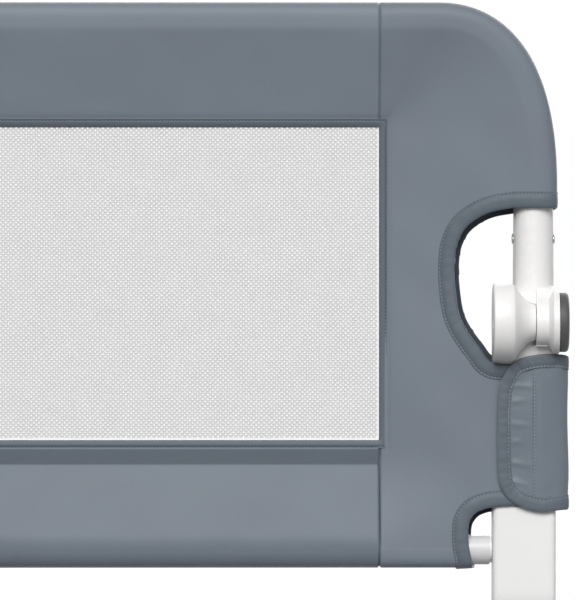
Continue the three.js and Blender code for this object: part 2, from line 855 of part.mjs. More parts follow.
function coverShell(radius, half, margin, extra) {
  const right = coverStations(extra).map((station) => coverSection(station, radius, half, margin));
  const left = right.slice(0, -1).map(mirroredSection).reverse();
  return loft([...right, ...left]);
}

// The bound cut-outs, from one face of the cover to its middle plane.
function gripTool(inset, from, to) {
  const top = hingeHeight + gripRise - inset;
  const outline = shareOutline(gripShares, halfLength, top, gripDepth - inset, gripHeight - 2 * inset);
  const shape = new THREE.Shape();
  shape.moveTo(halfLength + overrun, top - gripHeight + 2 * inset);
  shape.lineTo(halfLength + overrun, top);
  shape.lineTo(outline[0].x, outline[0].y);
  shape.splineThru(outline.slice(1));
  shape.closePath();
  return extrudeY(shape, from, to, outlineSteps);
}

function notchTool(inset, from, to) {
  const top = coverGround + notchHeight - inset;
  const outline = shareOutline(notchShares, halfLength, top, notchDepth - inset, notchHeight);
  const shape = new THREE.Shape();
  shape.moveTo(halfLength + overrun, coverGround - notchBackInset - overrun);
  shape.lineTo(halfLength + overrun, top);
  shape.lineTo(outline[0].x, outline[0].y);
  shape.splineThru(outline.slice(1));
  shape.lineTo(outline.at(-1).x, coverGround - notchBackInset - overrun);
  shape.closePath();
  return extrudeY(shape, from, to, outlineSteps);
}

function bothEnds(tool) {
  return [tool, mirrored(tool)];
}

function mirrored(geometry) {
  return closed(closed(geometry).applyMatrix4(new THREE.Matrix4().makeScale(-1, 1, 1)));
}

function gripTools() {
  const reach = coverEdgeRadius + overrun;
  return [...bothEnds(gripTool(0, -reach, 0)), ...bothEnds(gripTool(gripBackInset, -overrun, reach))];
}

function notchTools() {
  const reach = coverEdgeRadius + overrun;
  return [...bothEnds(notchTool(0, -reach, 0)), ...bothEnds(notchTool(notchBackInset, -overrun, reach))];
}

function coverUpper() {
  return cut(
    coverShell(coverEdgeRadius, hemHalf, 0, 0),
    coverShell(coverEdgeRadius - skin, hemHalf - skin, hemWidth, overrun),
    ...gripTools(),
  );
}

// Section of the lower cover in Y and Z: heights above the bar's sleeve, then round the sleeve.
function lowerSection(x, levels, radius) {
  const rise = levels.map(([half, z]) => new THREE.Vector3(x, -half, z));
  const wrap = Array.from({ length: wrapSteps + 1 }, (_, i) => {
    const angle = (i / wrapSteps) * Math.PI;
    return new THREE.Vector3(x, -radius * Math.cos(angle), barHeight - radius * Math.sin(angle));
  });
  const fall = levels.map(([half, z]) => new THREE.Vector3(x, half, z)).reverse();
  return [...rise, ...wrap, ...fall];
}

const hemZ = windowBottom - hemWidth;
const creaseZ = hemZ - creaseBelowHem;

function bottomStrip(thickness) {
  const reach = windowX + hemWidth;
  const levels = thickness === 0
    ? [[hemHalf, windowBottom], [hemHalf + hemBulge, hemZ], [creaseHalf, creaseZ]]
    : [[hemHalf - skin, creaseZ - hemWidth]];
  const radius = barSleeveRadius - thickness;
  return loft([-reach, reach].map((x) => lowerSection(x, levels, radius)));
}

// Half thickness of the end panel: thin at the window, full where it meets the post.
function panelHalf(x) {
  const share = Math.min(Math.max((x - windowX) / (postInnerX - windowX), 0), 1);
  return hemHalf + share * (tabHalf - hemHalf);
}

function endPanel(thickness) {
  const split = hingeHeight - fit + (thickness === 0 ? 0 : overrun);
  const start = thickness === 0 ? windowX : windowX + hemWidth;
  const end = thickness === 0 ? tabEndX : tabEndX + overrun;
  const sections = [start, postInnerX, end].map((x) => {
    const half = panelHalf(x) - thickness;
    return lowerSection(x, [[half, split], [half, creaseZ]], barSleeveRadius - thickness);
  });
  return loft(sections);
}

function coverLower() {
  const outer = join(bottomStrip(0), ...bothEnds(endPanel(0)));
  return cut(outer, bottomStrip(skin), ...bothEnds(endPanel(skin)), ...gripTools(), ...notchTools());
}

// The covers are sewn from a middle panel and two end panels, which meet at the window's sides.
function between(cover, from, to) {
  const reach = coverEdgeRadius + overrun;
  return common(cover, extrudeX(rectangle(-reach, 0, reach, coverTop + overrun), from, to));
}

function middlePanel(cover) {
  return between(cover, fit / 2 - windowX, windowX - fit / 2);
}

function sidePanel(cover) {
  return between(cover, windowX + fit / 2, halfLength + overrun);
}

// A net panel with diamond gaps, just inside the hems.
function netPanel(low, high) {
  const edge = windowX - fit;
  const shape = rectangle(-edge, low, edge, high);
  const half = (netPitch * netHoleShare) / 2;
  const columns = Math.floor((2 * edge - 2 * netMargin) / netPitch);
  const rows = Math.floor((high - low - 2 * netMargin) / netPitch);
  const middle = (low + high) / 2;
  for (let row = 0; row < rows; row += 1) {
    for (let column = 0; column < columns; column += 1) {
      const x = (column - (columns - 1) / 2) * netPitch;
      const z = middle + (row - (rows - 1) / 2) * netPitch;
      const corners = [[x - half, z], [x, z + half], [x + half, z], [x, z - half]];
      shape.holes.push(new THREE.Path(corners.map(([a, b]) => new THREE.Vector2(a, b))));
    }
  }
  return extrudeY(shape, -netThickness / 2, netThickness / 2);
}

function windowUpper() {
  const edge = windowX - fit;
  const outline = roundedRectangle(-edge, windowBottom, edge, windowTop - fit, windowCorner);
  return common(netPanel(hingeHeight + fit, windowTop - fit), extrudeY(outline, -netThickness, netThickness));
}

function windowLower() {
  return netPanel(windowBottom + fit, hingeHeight - fit);
}

// Flap that wraps the post from behind and closes on the tab in front
function postFlap() {
  const backHalf = tabHalf;
  const flapFoot = flapTop - flapHeight;
  const far = flapOuterX - 2 * flapWidth;
  const outer = roundedRectangle(far, -flapFront, flapOuterX, backHalf, flapBend);
  const inner = roundedRectangle(far, skin - flapFront, flapOuterX - skin, backHalf - skin, flapBend - skin);
  const wrap = cut(
    extrudeZ(outer, flapFoot, flapTop),
    extrudeZ(inner, flapFoot - overrun, flapTop + overrun),
  );
  const outline = new THREE.Shape(shareOutline(flapShares, flapOuterX, flapTop, flapWidth, flapHeight));
  const behindTab = rectangle(far - overrun, flapFoot - overrun, tabEndX + fit, flapTop + overrun);
  return cut(
    common(wrap, extrudeY(outline, -flapFront - overrun, backHalf + overrun)),
    extrudeY(behindTab, 0, backHalf + overrun),
  );
}

function fastenerStrip(front) {
  const right = flapOuterX - flapWidth + stripInset + stripWidth;
  const middle = flapTop - flapHeight / 2;
  const outline = roundedRectangle(
    right - stripWidth, middle - stripHeight / 2, right, middle + stripHeight / 2, stripCorner,
  );
  return extrudeY(outline, front, front + stripThickness);
}

// Assembly

const guardRail = new THREE.Group();
guardRail.position.y = -yCentre;

function add(name, geometry, material) {
  const shape = closed(geometry);
  shape.computeVertexNormals();
  const mesh = new THREE.Mesh(shape, material);
  mesh.name = name;
  guardRail.add(mesh);
}

function addPair(name, geometry, material) {
  add(`${name}_right`, geometry, material);
  add(`${name}_left`, mirrored(geometry), material);
}

// Base
addPair('leg', leg(), whiteSteel);
addPair('post_screw', postScrew(), zincSteel);
addPair('rear_connector', rearConnector(), whitePlastic);
add('rear_bar', rearBar(), whiteSteel);
addPair('front_pad', pad(padFrontShare), padRubber);
addPair('rear_pad', pad(padRearShare), padRubber);
add('lower_bar', lowerBar(), whiteSteel);
addPair('bar_spigot', barSpigot(), whitePlastic);
addPair('bar_bolt', barBolt(), zincSteel);
addPair('hinge_housing', hingeHousing(), whitePlastic);
addPair('pivot_bolt', pivotBolt(), zincSteel);
addPair('pivot_nut', pivotNut(), zincSteel);
addPair('lock_spring', lockSpring(), zincSteel);

// Upper frame
addPair('hinge_socket', hingeSocket(), whitePlastic);
addPair('socket_rivet', socketRivet(), zincSteel);
addPair('corner_tube', cornerTube(), whiteSteel);
add('top_tube', topTube(), whiteSteel);
addPair('snap_spring', snapSpring(), zincSteel);
addPair('snap_button', snapButton(), zincSteel);
addPair('lock_gear', lockGear(), darkPlastic);
addPair('lock_button', lockButton(), darkPlastic);

// Cloth
add('cover_top', middlePanel(coverUpper()), cloth);
addPair('cover_end_upper', sidePanel(coverUpper()), cloth);
add('cover_bottom', middlePanel(coverLower()), cloth);
addPair('cover_end_lower', sidePanel(coverLower()), cloth);
add('window_upper', windowUpper(), netCloth);
add('window_lower', windowLower(), netCloth);
addPair('post_flap', postFlap(), cloth);
addPair('loop_strip', fastenerStrip(-tabHalf - fit - stripThickness), stripCloth);
addPair('hook_strip', fastenerStrip(-tabHalf - 2 * fit - 2 * stripThickness), stripCloth);

export default guardRail;
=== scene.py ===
"""Folding bed guard rail: the finish of every surface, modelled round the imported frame.

Shapes are worked out in millimetres in the rail's own frame (X along the rail, Y towards the
mattress with 0 in the cover's middle plane, Z up from the floor) and placed in metres.
"""

import json
import logging
import math
from dataclasses import dataclass, field
from enum import Enum

import bmesh
import bpy
import numpy as np
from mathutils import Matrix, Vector

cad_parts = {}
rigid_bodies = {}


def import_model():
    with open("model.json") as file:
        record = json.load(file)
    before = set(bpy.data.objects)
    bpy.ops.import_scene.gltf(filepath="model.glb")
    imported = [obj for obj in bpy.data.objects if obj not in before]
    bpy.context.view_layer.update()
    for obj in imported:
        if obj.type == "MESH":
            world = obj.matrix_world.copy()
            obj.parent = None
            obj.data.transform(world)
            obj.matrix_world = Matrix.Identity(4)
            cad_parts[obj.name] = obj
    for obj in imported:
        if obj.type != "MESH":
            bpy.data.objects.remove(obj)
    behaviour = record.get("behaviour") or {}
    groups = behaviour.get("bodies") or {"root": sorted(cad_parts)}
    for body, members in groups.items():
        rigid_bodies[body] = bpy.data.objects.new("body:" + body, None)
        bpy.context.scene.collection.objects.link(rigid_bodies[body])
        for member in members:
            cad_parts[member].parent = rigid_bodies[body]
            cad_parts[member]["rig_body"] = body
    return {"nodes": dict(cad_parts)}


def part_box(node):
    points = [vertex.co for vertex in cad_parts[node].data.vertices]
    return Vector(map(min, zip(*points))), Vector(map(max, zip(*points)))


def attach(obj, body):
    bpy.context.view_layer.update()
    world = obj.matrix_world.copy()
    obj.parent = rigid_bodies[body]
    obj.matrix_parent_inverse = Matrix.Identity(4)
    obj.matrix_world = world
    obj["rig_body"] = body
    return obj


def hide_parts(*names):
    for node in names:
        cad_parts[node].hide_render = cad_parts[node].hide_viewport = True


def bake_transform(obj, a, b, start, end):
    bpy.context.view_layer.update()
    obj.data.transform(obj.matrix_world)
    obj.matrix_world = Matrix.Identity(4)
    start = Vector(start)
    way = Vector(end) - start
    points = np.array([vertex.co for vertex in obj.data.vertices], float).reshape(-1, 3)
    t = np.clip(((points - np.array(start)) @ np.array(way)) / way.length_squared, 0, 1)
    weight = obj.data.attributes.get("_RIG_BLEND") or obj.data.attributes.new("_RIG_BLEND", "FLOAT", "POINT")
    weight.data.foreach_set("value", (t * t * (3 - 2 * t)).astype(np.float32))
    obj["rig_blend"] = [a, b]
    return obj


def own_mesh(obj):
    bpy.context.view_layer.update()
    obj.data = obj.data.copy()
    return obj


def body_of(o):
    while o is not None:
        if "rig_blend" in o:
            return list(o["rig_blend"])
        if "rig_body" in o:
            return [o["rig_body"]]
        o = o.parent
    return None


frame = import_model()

log = logging.getLogger("guard_rail")

Array = np.ndarray
MM = 0.001
WELD = 0.01 * MM
TINY = 1e-12
TAU = 2 * math.pi


class Side(Enum):
    """The two ends of the rail, and the sign of X there."""

    RIGHT = 1
    LEFT = -1

    @property
    def tag(self) -> str:
        """The end's word in a piece's name."""
        return self.name.lower()


class Layer(Enum):
    """The two cloth layers of the cover, and the sign of Y there."""

    FRONT = -1
    BACK = 1

    @property
    def tag(self) -> str:
        """The layer's word in a piece's name."""
        return self.name.lower()


class Facing(Enum):
    """How an open sheet's outer side is told from its inner one."""

    FRONT = "most of it looks to the front"
    APART = "the front half looks to the front and the back half to the back"


def middle_y() -> float:
    """Y of the cover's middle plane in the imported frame, in millimetres: the lower bar's middle."""
    low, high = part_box("lower_bar")
    return (low[1] + high[1]) / 2 / MM


MIDDLE_Y = middle_y()


# Numbers and curves

def smoothstep(value: Array, start: float, end: float) -> Array:
    """Rises from 0 at start to 1 at end as 3t^2 - 2t^3."""
    t = np.clip((np.asarray(value, float) - start) / (end - start), 0, 1)
    return t * t * (3 - 2 * t)


def mix(first: Array, second: Array, share: Array) -> Array:
    """The straight line from first at share 0 to second at share 1."""
    return first + (second - first) * share


def unit(vectors: Array) -> Array:
    """Each vector divided by its own length."""
    return vectors / np.maximum(np.linalg.norm(vectors, axis=-1, keepdims=True), TINY)


def spline(points: Array, steps: int) -> Array:
    """A Catmull-Rom curve: between two points, a cubic whose end slopes are half the chord of the
    neighbours on either side.

    Args:
        points: the points that the curve passes through, (n, d).
        steps: places taken between each two points.

    Returns:
        The curve's places, ((n - 1) * steps + 1, d).
    """
    points = np.asarray(points, float)
    ends = np.vstack([2 * points[:1] - points[1:2], points, 2 * points[-1:] - points[-2:-1]])
    a, b, c, d = (ends[i : len(ends) - 3 + i, None] for i in range(4))
    t = np.linspace(0, 1, steps, endpoint=False)[None, :, None]
    curve = b + 0.5 * t * (c - a + t * (2 * a - 5 * b + 4 * c - d + t * (3 * (b - c) + d - a)))
    return np.vstack([curve.reshape(-1, points.shape[1]), points[-1:]])


def run_length(path: Array) -> Array:
    """Distance along a path at each of its points."""
    steps = np.linalg.norm(np.diff(path, axis=0), axis=1)
    return np.concatenate([[0], np.cumsum(steps)])


def read_off(rows: Array, lengths: Array, places: Array) -> Array:
    """Rows of numbers along a path, read off in straight lines at other places.

    Args:
        rows: one row at each of the path's points, (n, d).
        lengths: distance along the path of those points.
        places: distances along the path that are wanted.

    Returns:
        The rows there, (m, d).
    """
    return np.stack([np.interp(places, lengths, column) for column in rows.T], axis=1)


def evenly(path: Array, spacing: float) -> Array:
    """The same path with its points about one spacing apart.

    Args:
        path: points of a path, (n, d).
        spacing: the distance wanted between neighbours.

    Returns:
        Points along the path, (m, d).
    """
    lengths = run_length(path)
    count = max(int(round(lengths[-1] / spacing)), 2) + 1
    return read_off(path, lengths, np.linspace(0, lengths[-1], count))


def tangents(path: Array) -> Array:
    """Unit direction of a path at each point, from the neighbours on both sides."""
    return unit(np.gradient(path, axis=0))


def rightwards(ahead: Array) -> Array:
    """Flat directions turned a quarter to the right, (n, 2)."""
    return np.stack([ahead[:, 1], -ahead[:, 0]], axis=1)


def rounded(corners: Array, reach: float, steps: int = 6, closed: bool = True) -> Array:
    """An outline whose corners are replaced by parabolic arcs that start and end one reach away.

    Args:
        corners: outline points, (n, 2).
        reach: distance from a corner to each end of its arc, at most 0.48 of the shorter side.
        steps: places on each arc.
        closed: whether the last corner joins the first.

    Returns:
        The rounded outline's points.
    """
    corners = np.asarray(corners, float)
    before = np.roll(corners, 1, axis=0) - corners
    after = np.roll(corners, -1, axis=0) - corners
    shorter = np.minimum(np.linalg.norm(before, axis=1), np.linalg.norm(after, axis=1))
    span = np.minimum(reach, 0.48 * shorter)[:, None]
    start, end = corners + unit(before) * span, corners + unit(after) * span
    t = np.linspace(0, 1, steps)[None, :, None]
    arcs = (1 - t) ** 2 * start[:, None] + 2 * t * (1 - t) * corners[:, None] + t**2 * end[:, None]
    if closed:
        return arcs.reshape(-1, 2)
    return np.vstack([corners[:1], arcs[1:-1].reshape(-1, 2), corners[-1:]])


def rectangle(left: float, low: float, right: float, high: float) -> Array:
    """The four corners of a rectangle, anticlockwise."""
    return np.array([[left, low], [right, low], [right, high], [left, high]], float)


def circle(radius: float, sides: int) -> Array:
    """Places round a circle, (sides, 2)."""
    angle = np.arange(sides) / sides * TAU
    return radius * np.stack([np.cos(angle), np.sin(angle)], axis=1)


def inside(points: Array, outline: Array) -> Array:
    """Whether each point lies within a closed outline: a ray from it crosses the outline an odd
    number of times.

    Args:
        points: places, (n, 2).
        outline: the outline's corners, (m, 2).

    Returns:
        True or False for each point, (n,).
    """
    x, z = points[:, :1], points[:, 1:]
    x0, z0 = outline.T
    x1, z1 = np.roll(outline, -1, axis=0).T
    rise = np.where(z1 == z0, TINY, z1 - z0)
    crosses = ((z0 > z) != (z1 > z)) & (x < (x1 - x0) * (z - z0) / rise + x0)
    return crosses.sum(axis=1) % 2 == 1


def nearest(points: Array, path: Array) -> Array:
    """The place on an open path that is nearest to each point: the foot of the perpendicular on
    each of its straight steps, limited to the step, and then the nearest of these.

    Args:
        points: places, (n, 2).
        path: the path's points, (m, 2).

    Returns:
        Places on the path, (n, 2).
    """
    start, step = path[:-1], np.diff(path, axis=0)
    away = points[:, None] - start[None]
    share = np.clip((away * step).sum(-1) / np.maximum((step**2).sum(-1), TINY), 0, 1)
    feet = start + share[..., None] * step
    best = np.linalg.norm(points[:, None] - feet, axis=-1).argmin(axis=1)
    return feet[np.arange(len(points)), best]


# Meshes

@dataclass
class Surface:
    """Points in millimetres, faces as rows of point numbers, and cloth coordinates in metres."""

    points: Array
    faces: list[Array]
    uv: Array | None = None

    def mirrored(self) -> "Surface":
        """The same surface at the other end of the rail, with its faces turned the right way."""
        faces = [face[:, ::-1] for face in self.faces]
        return Surface(self.points * [-1, 1, 1], faces, self.uv)

    def at(self, side: Side) -> "Surface":
        """The surface, or its mirror image at the left end."""
        return self if side is Side.RIGHT else self.mirrored()

    def outwards(self) -> "Surface":
        """The same closed surface, turned round if its signed volume is negative.

        Returns:
            The surface with its faces outwards.
        """
        volume = 0.0
        for face in self.faces:
            first, *others = (self.points[corner] for corner in face.T)
            for second, third in zip(others, others[1:]):
                volume += (first * np.cross(second, third)).sum()
        if volume >= 0:
            return self
        return Surface(self.points, [face[:, ::-1] for face in self.faces], self.uv)


def together(surfaces: list[Surface]) -> Surface:
    """Several surfaces as one, with their point numbers moved on.

    Args:
        surfaces: the surfaces in order.

    Returns:
        One surface, with cloth coordinates if all of them have them.
    """
    starts = np.cumsum([0] + [len(s.points) for s in surfaces])
    faces = [face + start for s, start in zip(surfaces, starts) for face in s.faces]
    has_uv = all(s.uv is not None for s in surfaces)
    uv = np.vstack([s.uv for s in surfaces]) if has_uv else None
    return Surface(np.vstack([s.points for s in surfaces]), faces, uv)


def grid_faces(rows: int, columns: int, ring: bool = False, loop: bool = False) -> Array:
    """Quads between neighbours on a grid of points.

    Args:
        rows: number of rows.
        columns: number of columns.
        ring: whether the last column joins the first.
        loop: whether the last row joins the first.

    Returns:
        Point numbers, (quads, 4).
    """
    r, c = np.meshgrid(np.arange(rows - (not loop)), np.arange(columns - (not ring)), indexing="ij")
    below, beside = (r + 1) % rows, (c + 1) % columns
    quads = [r * columns + c, r * columns + beside, below * columns + beside, below * columns + c]
    return np.stack(quads, axis=-1).reshape(-1, 4)


def grid_surface(points: Array, uv: Array | None = None) -> Surface:
    """An open sheet from a grid of points.

    Args:
        points: the grid, (rows, columns, 3).
        uv: its cloth coordinates in metres, (rows, columns, 2).

    Returns:
        The sheet.
    """
    rows, columns = points.shape[:2]
    flat_uv = None if uv is None else uv.reshape(-1, 2)
    return Surface(points.reshape(-1, 3), [grid_faces(rows, columns)], flat_uv)


def tube_surface(rings: Array, loop: bool = False) -> Surface:
    """A closed body from rings of points.

    Args:
        rings: the rings, (rings, points, 3).
        loop: whether the last ring joins the first; otherwise both ends are flat.

    Returns:
        The body.
    """
    count, sides = rings.shape[:2]
    faces = [grid_faces(count, sides, ring=True, loop=loop)]
    if not loop:
        faces += [np.arange(sides)[None, ::-1], (count - 1) * sides + np.arange(sides)[None]]
    return Surface(rings.reshape(-1, 3), faces).outwards()


def lathe(profile: Array, sides: int = 96) -> Surface:
    """A profile turned about the X axis.

    Args:
        profile: (along, radius) pairs; a radius of 0 closes it in a pole.
        sides: points round it.

    Returns:
        The closed body.
    """
    profile = np.asarray(profile, float)
    angle = np.arange(sides) / sides * TAU
    along = np.repeat(profile[:, :1], sides, axis=1)
    rings = np.stack([along, profile[:, 1:] * np.cos(angle), profile[:, 1:] * np.sin(angle)], axis=-1)
    return Surface(rings.reshape(-1, 3), [grid_faces(len(profile), sides, ring=True)]).outwards()


def moved(surface: Surface, x: float = 0, y: float = 0, z: float = 0) -> Surface:
    """The surface carried by (x, y, z)."""
    return Surface(surface.points + [x, y, z], surface.faces, surface.uv)


def upright(surface: Surface) -> Surface:
    """The surface with its X axis turned to Z, Y to X and Z to Y."""
    return Surface(surface.points[:, [1, 2, 0]], surface.faces, surface.uv)


def backwards(surface: Surface) -> Surface:
    """The surface with its X axis turned to Y, Y to Z and Z to X."""
    return Surface(surface.points[:, [2, 0, 1]], surface.faces, surface.uv)


def prism(outline: Array, levels: list[tuple[float, float]], axis: int) -> Surface:
    """An outline carried along an axis and drawn in towards its middle at each level.

    Args:
        outline: points in the other two axes in cyclic order, (n, 2).
        levels: (place along the axis, distance drawn in) pairs.
        axis: 0, 1 or 2 for X, Y or Z.

    Returns:
        The closed body.
    """
    ahead = unit(np.roll(outline, -1, axis=0) - np.roll(outline, 1, axis=0))
    turn = np.cross(outline, np.roll(outline, -1, axis=0)).sum()
    inward = np.stack([-ahead[:, 1], ahead[:, 0]], axis=1) * np.sign(turn)
    rings = np.zeros((len(levels), len(outline), 3))
    for ring, (place, drawn) in zip(rings, levels):
        ring[:, axis] = place
        ring[:, [(axis + 1) % 3, (axis + 2) % 3]] = outline + inward * drawn
    return tube_surface(rings)


def read(items: bpy.types.bpy_prop_collection, name: str, width: int, kind: type = float) -> Array:
    """One value of every item in a list of a mesh.

    Args:
        items: the list.
        name: the value's name.
        width: how many numbers it has.
        kind: their type.

    Returns:
        The numbers, (items, width).
    """
    values = np.empty(len(items) * width, kind)
    items.foreach_get(name, values)
    return values.reshape(-1, width)


def set_cloth(mesh: bpy.types.Mesh, uv: Array) -> None:
    """Gives each face corner of a mesh its cloth coordinates."""
    layer = mesh.uv_layers.get("cloth") or mesh.uv_layers.new(name="cloth")
    layer.data.foreach_set("uv", uv.astype(np.float32).ravel())


def face_out(shape: bmesh.types.BMesh, facing: Facing) -> None:
    """Turns an open sheet's faces to its outer side.

    Args:
        shape: the sheet.
        facing: which way its outer side looks.
    """
    bmesh.ops.recalc_face_normals(shape, faces=shape.faces)
    middle = MIDDLE_Y * MM if facing is Facing.APART else math.inf
    looks = 0.0
    for face in shape.faces:
        outwards = 1 if face.calc_center_median().y > middle else -1
        looks += face.normal.y * face.calc_area() * outwards
    if looks < 0:
        bmesh.ops.reverse_faces(shape, faces=shape.faces)


def make_object(
    name: str,
    surface: Surface,
    sharp: float = 35,
    smooth: bool = True,
    facing: Facing | None = None,
) -> bpy.types.Object:
    """Puts a surface into Blender, welded and with its faces turned one way.

    Args:
        name: the piece's name.
        surface: its points, faces and cloth coordinates.
        sharp: angle in degrees above which an edge stays sharp.
        smooth: whether faces are shaded smooth.
        facing: for an open sheet, which way its outer side looks.

    Returns:
        The new object, at the origin.
    """
    mesh = bpy.data.meshes.new(name)
    points = (surface.points + [0, MIDDLE_Y, 0]) * MM
    faces = [row for face in surface.faces for row in face.tolist()]
    mesh.from_pydata(points.tolist(), [], faces)
    if surface.uv is not None:
        set_cloth(mesh, surface.uv[read(mesh.loops, "vertex_index", 1, int)[:, 0]])
    shape = bmesh.new()
    shape.from_mesh(mesh)
    bmesh.ops.remove_doubles(shape, verts=shape.verts, dist=WELD)
    bmesh.ops.dissolve_degenerate(shape, edges=shape.edges, dist=WELD)
    loose = [vertex for vertex in shape.verts if not vertex.link_faces]
    bmesh.ops.delete(shape, geom=loose, context="VERTS")
    if facing is not None:
        face_out(shape, facing)
    shape.to_mesh(mesh)
    shape.free()
    mesh.validate()
    mesh.polygons.foreach_set("use_smooth", np.full(len(mesh.polygons), smooth))
    if smooth:
        mesh.set_sharp_from_angle(angle=math.radians(sharp))
    obj = bpy.data.objects.new(name, mesh)
    bpy.context.scene.collection.objects.link(obj)
    return obj


def settle(obj: bpy.types.Object, sharp: float | None = None) -> bpy.types.Object:
    """Applies an object's modifiers to its mesh.

    Args:
        obj: the object.
        sharp: angle in degrees above which an edge stays sharp, or None to leave the shading.

    Returns:
        The same object.
    """
    graph = bpy.context.evaluated_depsgraph_get()
    graph.update()
    mesh = bpy.data.meshes.new_from_object(obj.evaluated_get(graph))
    obj.modifiers.clear()
    old, obj.data = obj.data, mesh
    bpy.data.meshes.remove(old)
    mesh.name = obj.name
    if sharp is not None:
        mesh.polygons.foreach_set("use_smooth", np.full(len(mesh.polygons), True))
        mesh.set_sharp_from_angle(angle=math.radians(sharp))
    return obj


def carve(obj: bpy.types.Object, tool: Surface, how: str = "DIFFERENCE") -> bpy.types.Object:
    """Cuts a closed surface out of an object, or joins it on.

    Args:
        obj: the object that is changed.
        tool: the closed surface.
        how: DIFFERENCE, UNION or INTERSECT.

    Returns:
        The changed object.
    """
    helper = make_object("tool", tool)
    change = obj.modifiers.new("carve", "BOOLEAN")
    change.operation = how
    change.solver = "MANIFOLD"
    change.object = helper
    settle(obj, sharp=35)
    bpy.data.objects.remove(helper)
    return obj


def line(
    obj: bpy.types.Object, thickness: float, outer: bpy.types.Material, inner: bpy.types.Material
) -> bpy.types.Object:
    """Gives a sheet its thickness on its inner side, and each side its own material: the inner one
    is painted shade.

    Args:
        obj: the sheet.
        thickness: of the cloth, in millimetres.
        outer: material of the face.
        inner: material of the inner face, a dark cloth colour that is painted shade.

    Returns:
        The same object.
    """
    for material in (outer, inner):
        obj.data.materials.append(material)
    wall = obj.modifiers.new("thickness", "SOLIDIFY")
    wall.thickness = thickness * MM
    wall.offset = -1
    wall.material_offset = 1
    return settle(obj, sharp=50)


# Shader nodes

Colour = tuple[int, int, int]
Socket = bpy.types.NodeSocket


def shade(colour: Colour, factor: float) -> tuple[float, float, float, float]:
    """A screen colour as the linear colour that Blender holds, made lighter or darker.

    Args:
        colour: red, green and blue from 0 to 255.
        factor: what the linear values are multiplied by.

    Returns:
        Linear red, green and blue of at most 1, and 1 for opaque.
    """
    screen = np.array(colour) / 255
    low, high = screen / 12.92, ((screen + 0.055) / 1.055) ** 2.4
    values = np.where(screen <= 0.04045, low, high) * factor
    return (*np.minimum(values, 1).tolist(), 1.0)


class Nodes:
    """Adds nodes to one tree and joins them."""

    def __init__(self, tree: bpy.types.NodeTree) -> None:
        """Keeps the tree that the nodes go into."""
        self.tree = tree

    def fill(self, node: bpy.types.Node, values: dict) -> bpy.types.Node:
        """Sets a node's inputs, or joins them.

        Args:
            node: the node.
            values: input name or number to a value, or to a socket that is joined to it.

        Returns:
            The same node.
        """
        for name, value in values.items():
            if isinstance(value, Socket):
                self.tree.links.new(value, node.inputs[name])
            else:
                node.inputs[name].default_value = value
        return node

    def add(self, kind: str, values: dict | None = None, **settings: object) -> bpy.types.Node:
        """Adds one node.

        Args:
            kind: Blender's name of the node.
            values: what its inputs are set to or joined to.
            settings: the node's own properties.

        Returns:
            The new node.
        """
        node = self.tree.nodes.new(kind)
        for name, value in settings.items():
            setattr(node, name, value)
        return self.fill(node, values or {})

    def use(self, group: bpy.types.NodeTree, values: dict) -> bpy.types.NodeOutputs:
        """The outputs of a shared group with its own values."""
        return self.add("ShaderNodeGroup", values, node_tree=group).outputs

    def sum(self, how: str, first: object, second: object = 0.0, third: float = 0.0) -> Socket:
        """One Math node's result."""
        return self.add("ShaderNodeMath", {0: first, 1: second, 2: third}, operation=how).outputs[0]

    def blend(self, share: object, first: object, second: object) -> Socket:
        """A colour between two colours."""
        node = self.add("ShaderNodeMix", {0: share, 6: first, 7: second}, data_type="RGBA")
        return node.outputs[2]

    def noise(self, vector: Socket, scale: object, detail: float) -> Socket:
        """A noise value from 0 to 1; scale is in waves a metre."""
        values = {"Vector": vector, "Scale": scale, "Detail": detail}
        return self.add("ShaderNodeTexNoise", values).outputs[0]

    def spread(self, value: Socket, low: float, high: float) -> Socket:
        """The value from low to high stretched to 0 to 1."""
        values = {"Value": value, "From Min": low, "From Max": high}
        return self.add("ShaderNodeMapRange", values).outputs[0]

    def bump(self, height: Socket, depth: float, under: Socket | None = None) -> Socket:
        """The normal of a relief.

        Args:
            height: the relief's height from 0 to 1.
            depth: its depth in millimetres.
            under: the normal of a relief that it lies on.

        Returns:
            The normal.
        """
        values = {"Distance": depth * MM, "Height": height, "Strength": 1.0}
        if under is not None:
            values["Normal"] = under
        return self.add("ShaderNodeBump", values).outputs[0]


def new_group(
    name: str, inputs: list[str], outputs: list[str]
) -> tuple[Nodes, bpy.types.NodeOutputs, bpy.types.Node]:
    """An empty node group; its sockets are numbers, except for one named Vector.

    Args:
        name: the group's name.
        inputs: its inputs' names.
        outputs: its outputs' names.

    Returns:
        The group's nodes, what it is given, and the node that takes its results.
    """
    group = bpy.data.node_groups.new(name, "ShaderNodeTree")
    for way, sockets in (("INPUT", inputs), ("OUTPUT", outputs)):
        for socket in sockets:
            kind = "NodeSocketVector" if socket == "Vector" else "NodeSocketFloat"
            group.interface.new_socket(socket, in_out=way, socket_type=kind)
    nodes = Nodes(group)
    return nodes, nodes.add("NodeGroupInput").outputs, nodes.add("NodeGroupOutput")


def weave_group() -> bpy.types.NodeTree:
    """Plain weave: the height is the product of a wave along each of the two thread directions.

    Returns:
        The group.
    """
    nodes, given, result = new_group("weave", ["Vector", "Threads"], ["Height"])
    place = nodes.add("ShaderNodeSeparateXYZ", {0: given["Vector"]})
    turns = [nodes.sum("MULTIPLY", axis, given["Threads"]) for axis in place.outputs[:2]]
    waves = [nodes.sum("SINE", nodes.sum("MULTIPLY", turn, TAU)) for turn in turns]
    height = nodes.sum("MULTIPLY_ADD", nodes.sum("MULTIPLY", *waves), 0.5, 0.5)
    nodes.fill(result, {"Height": height})
    return nodes.tree


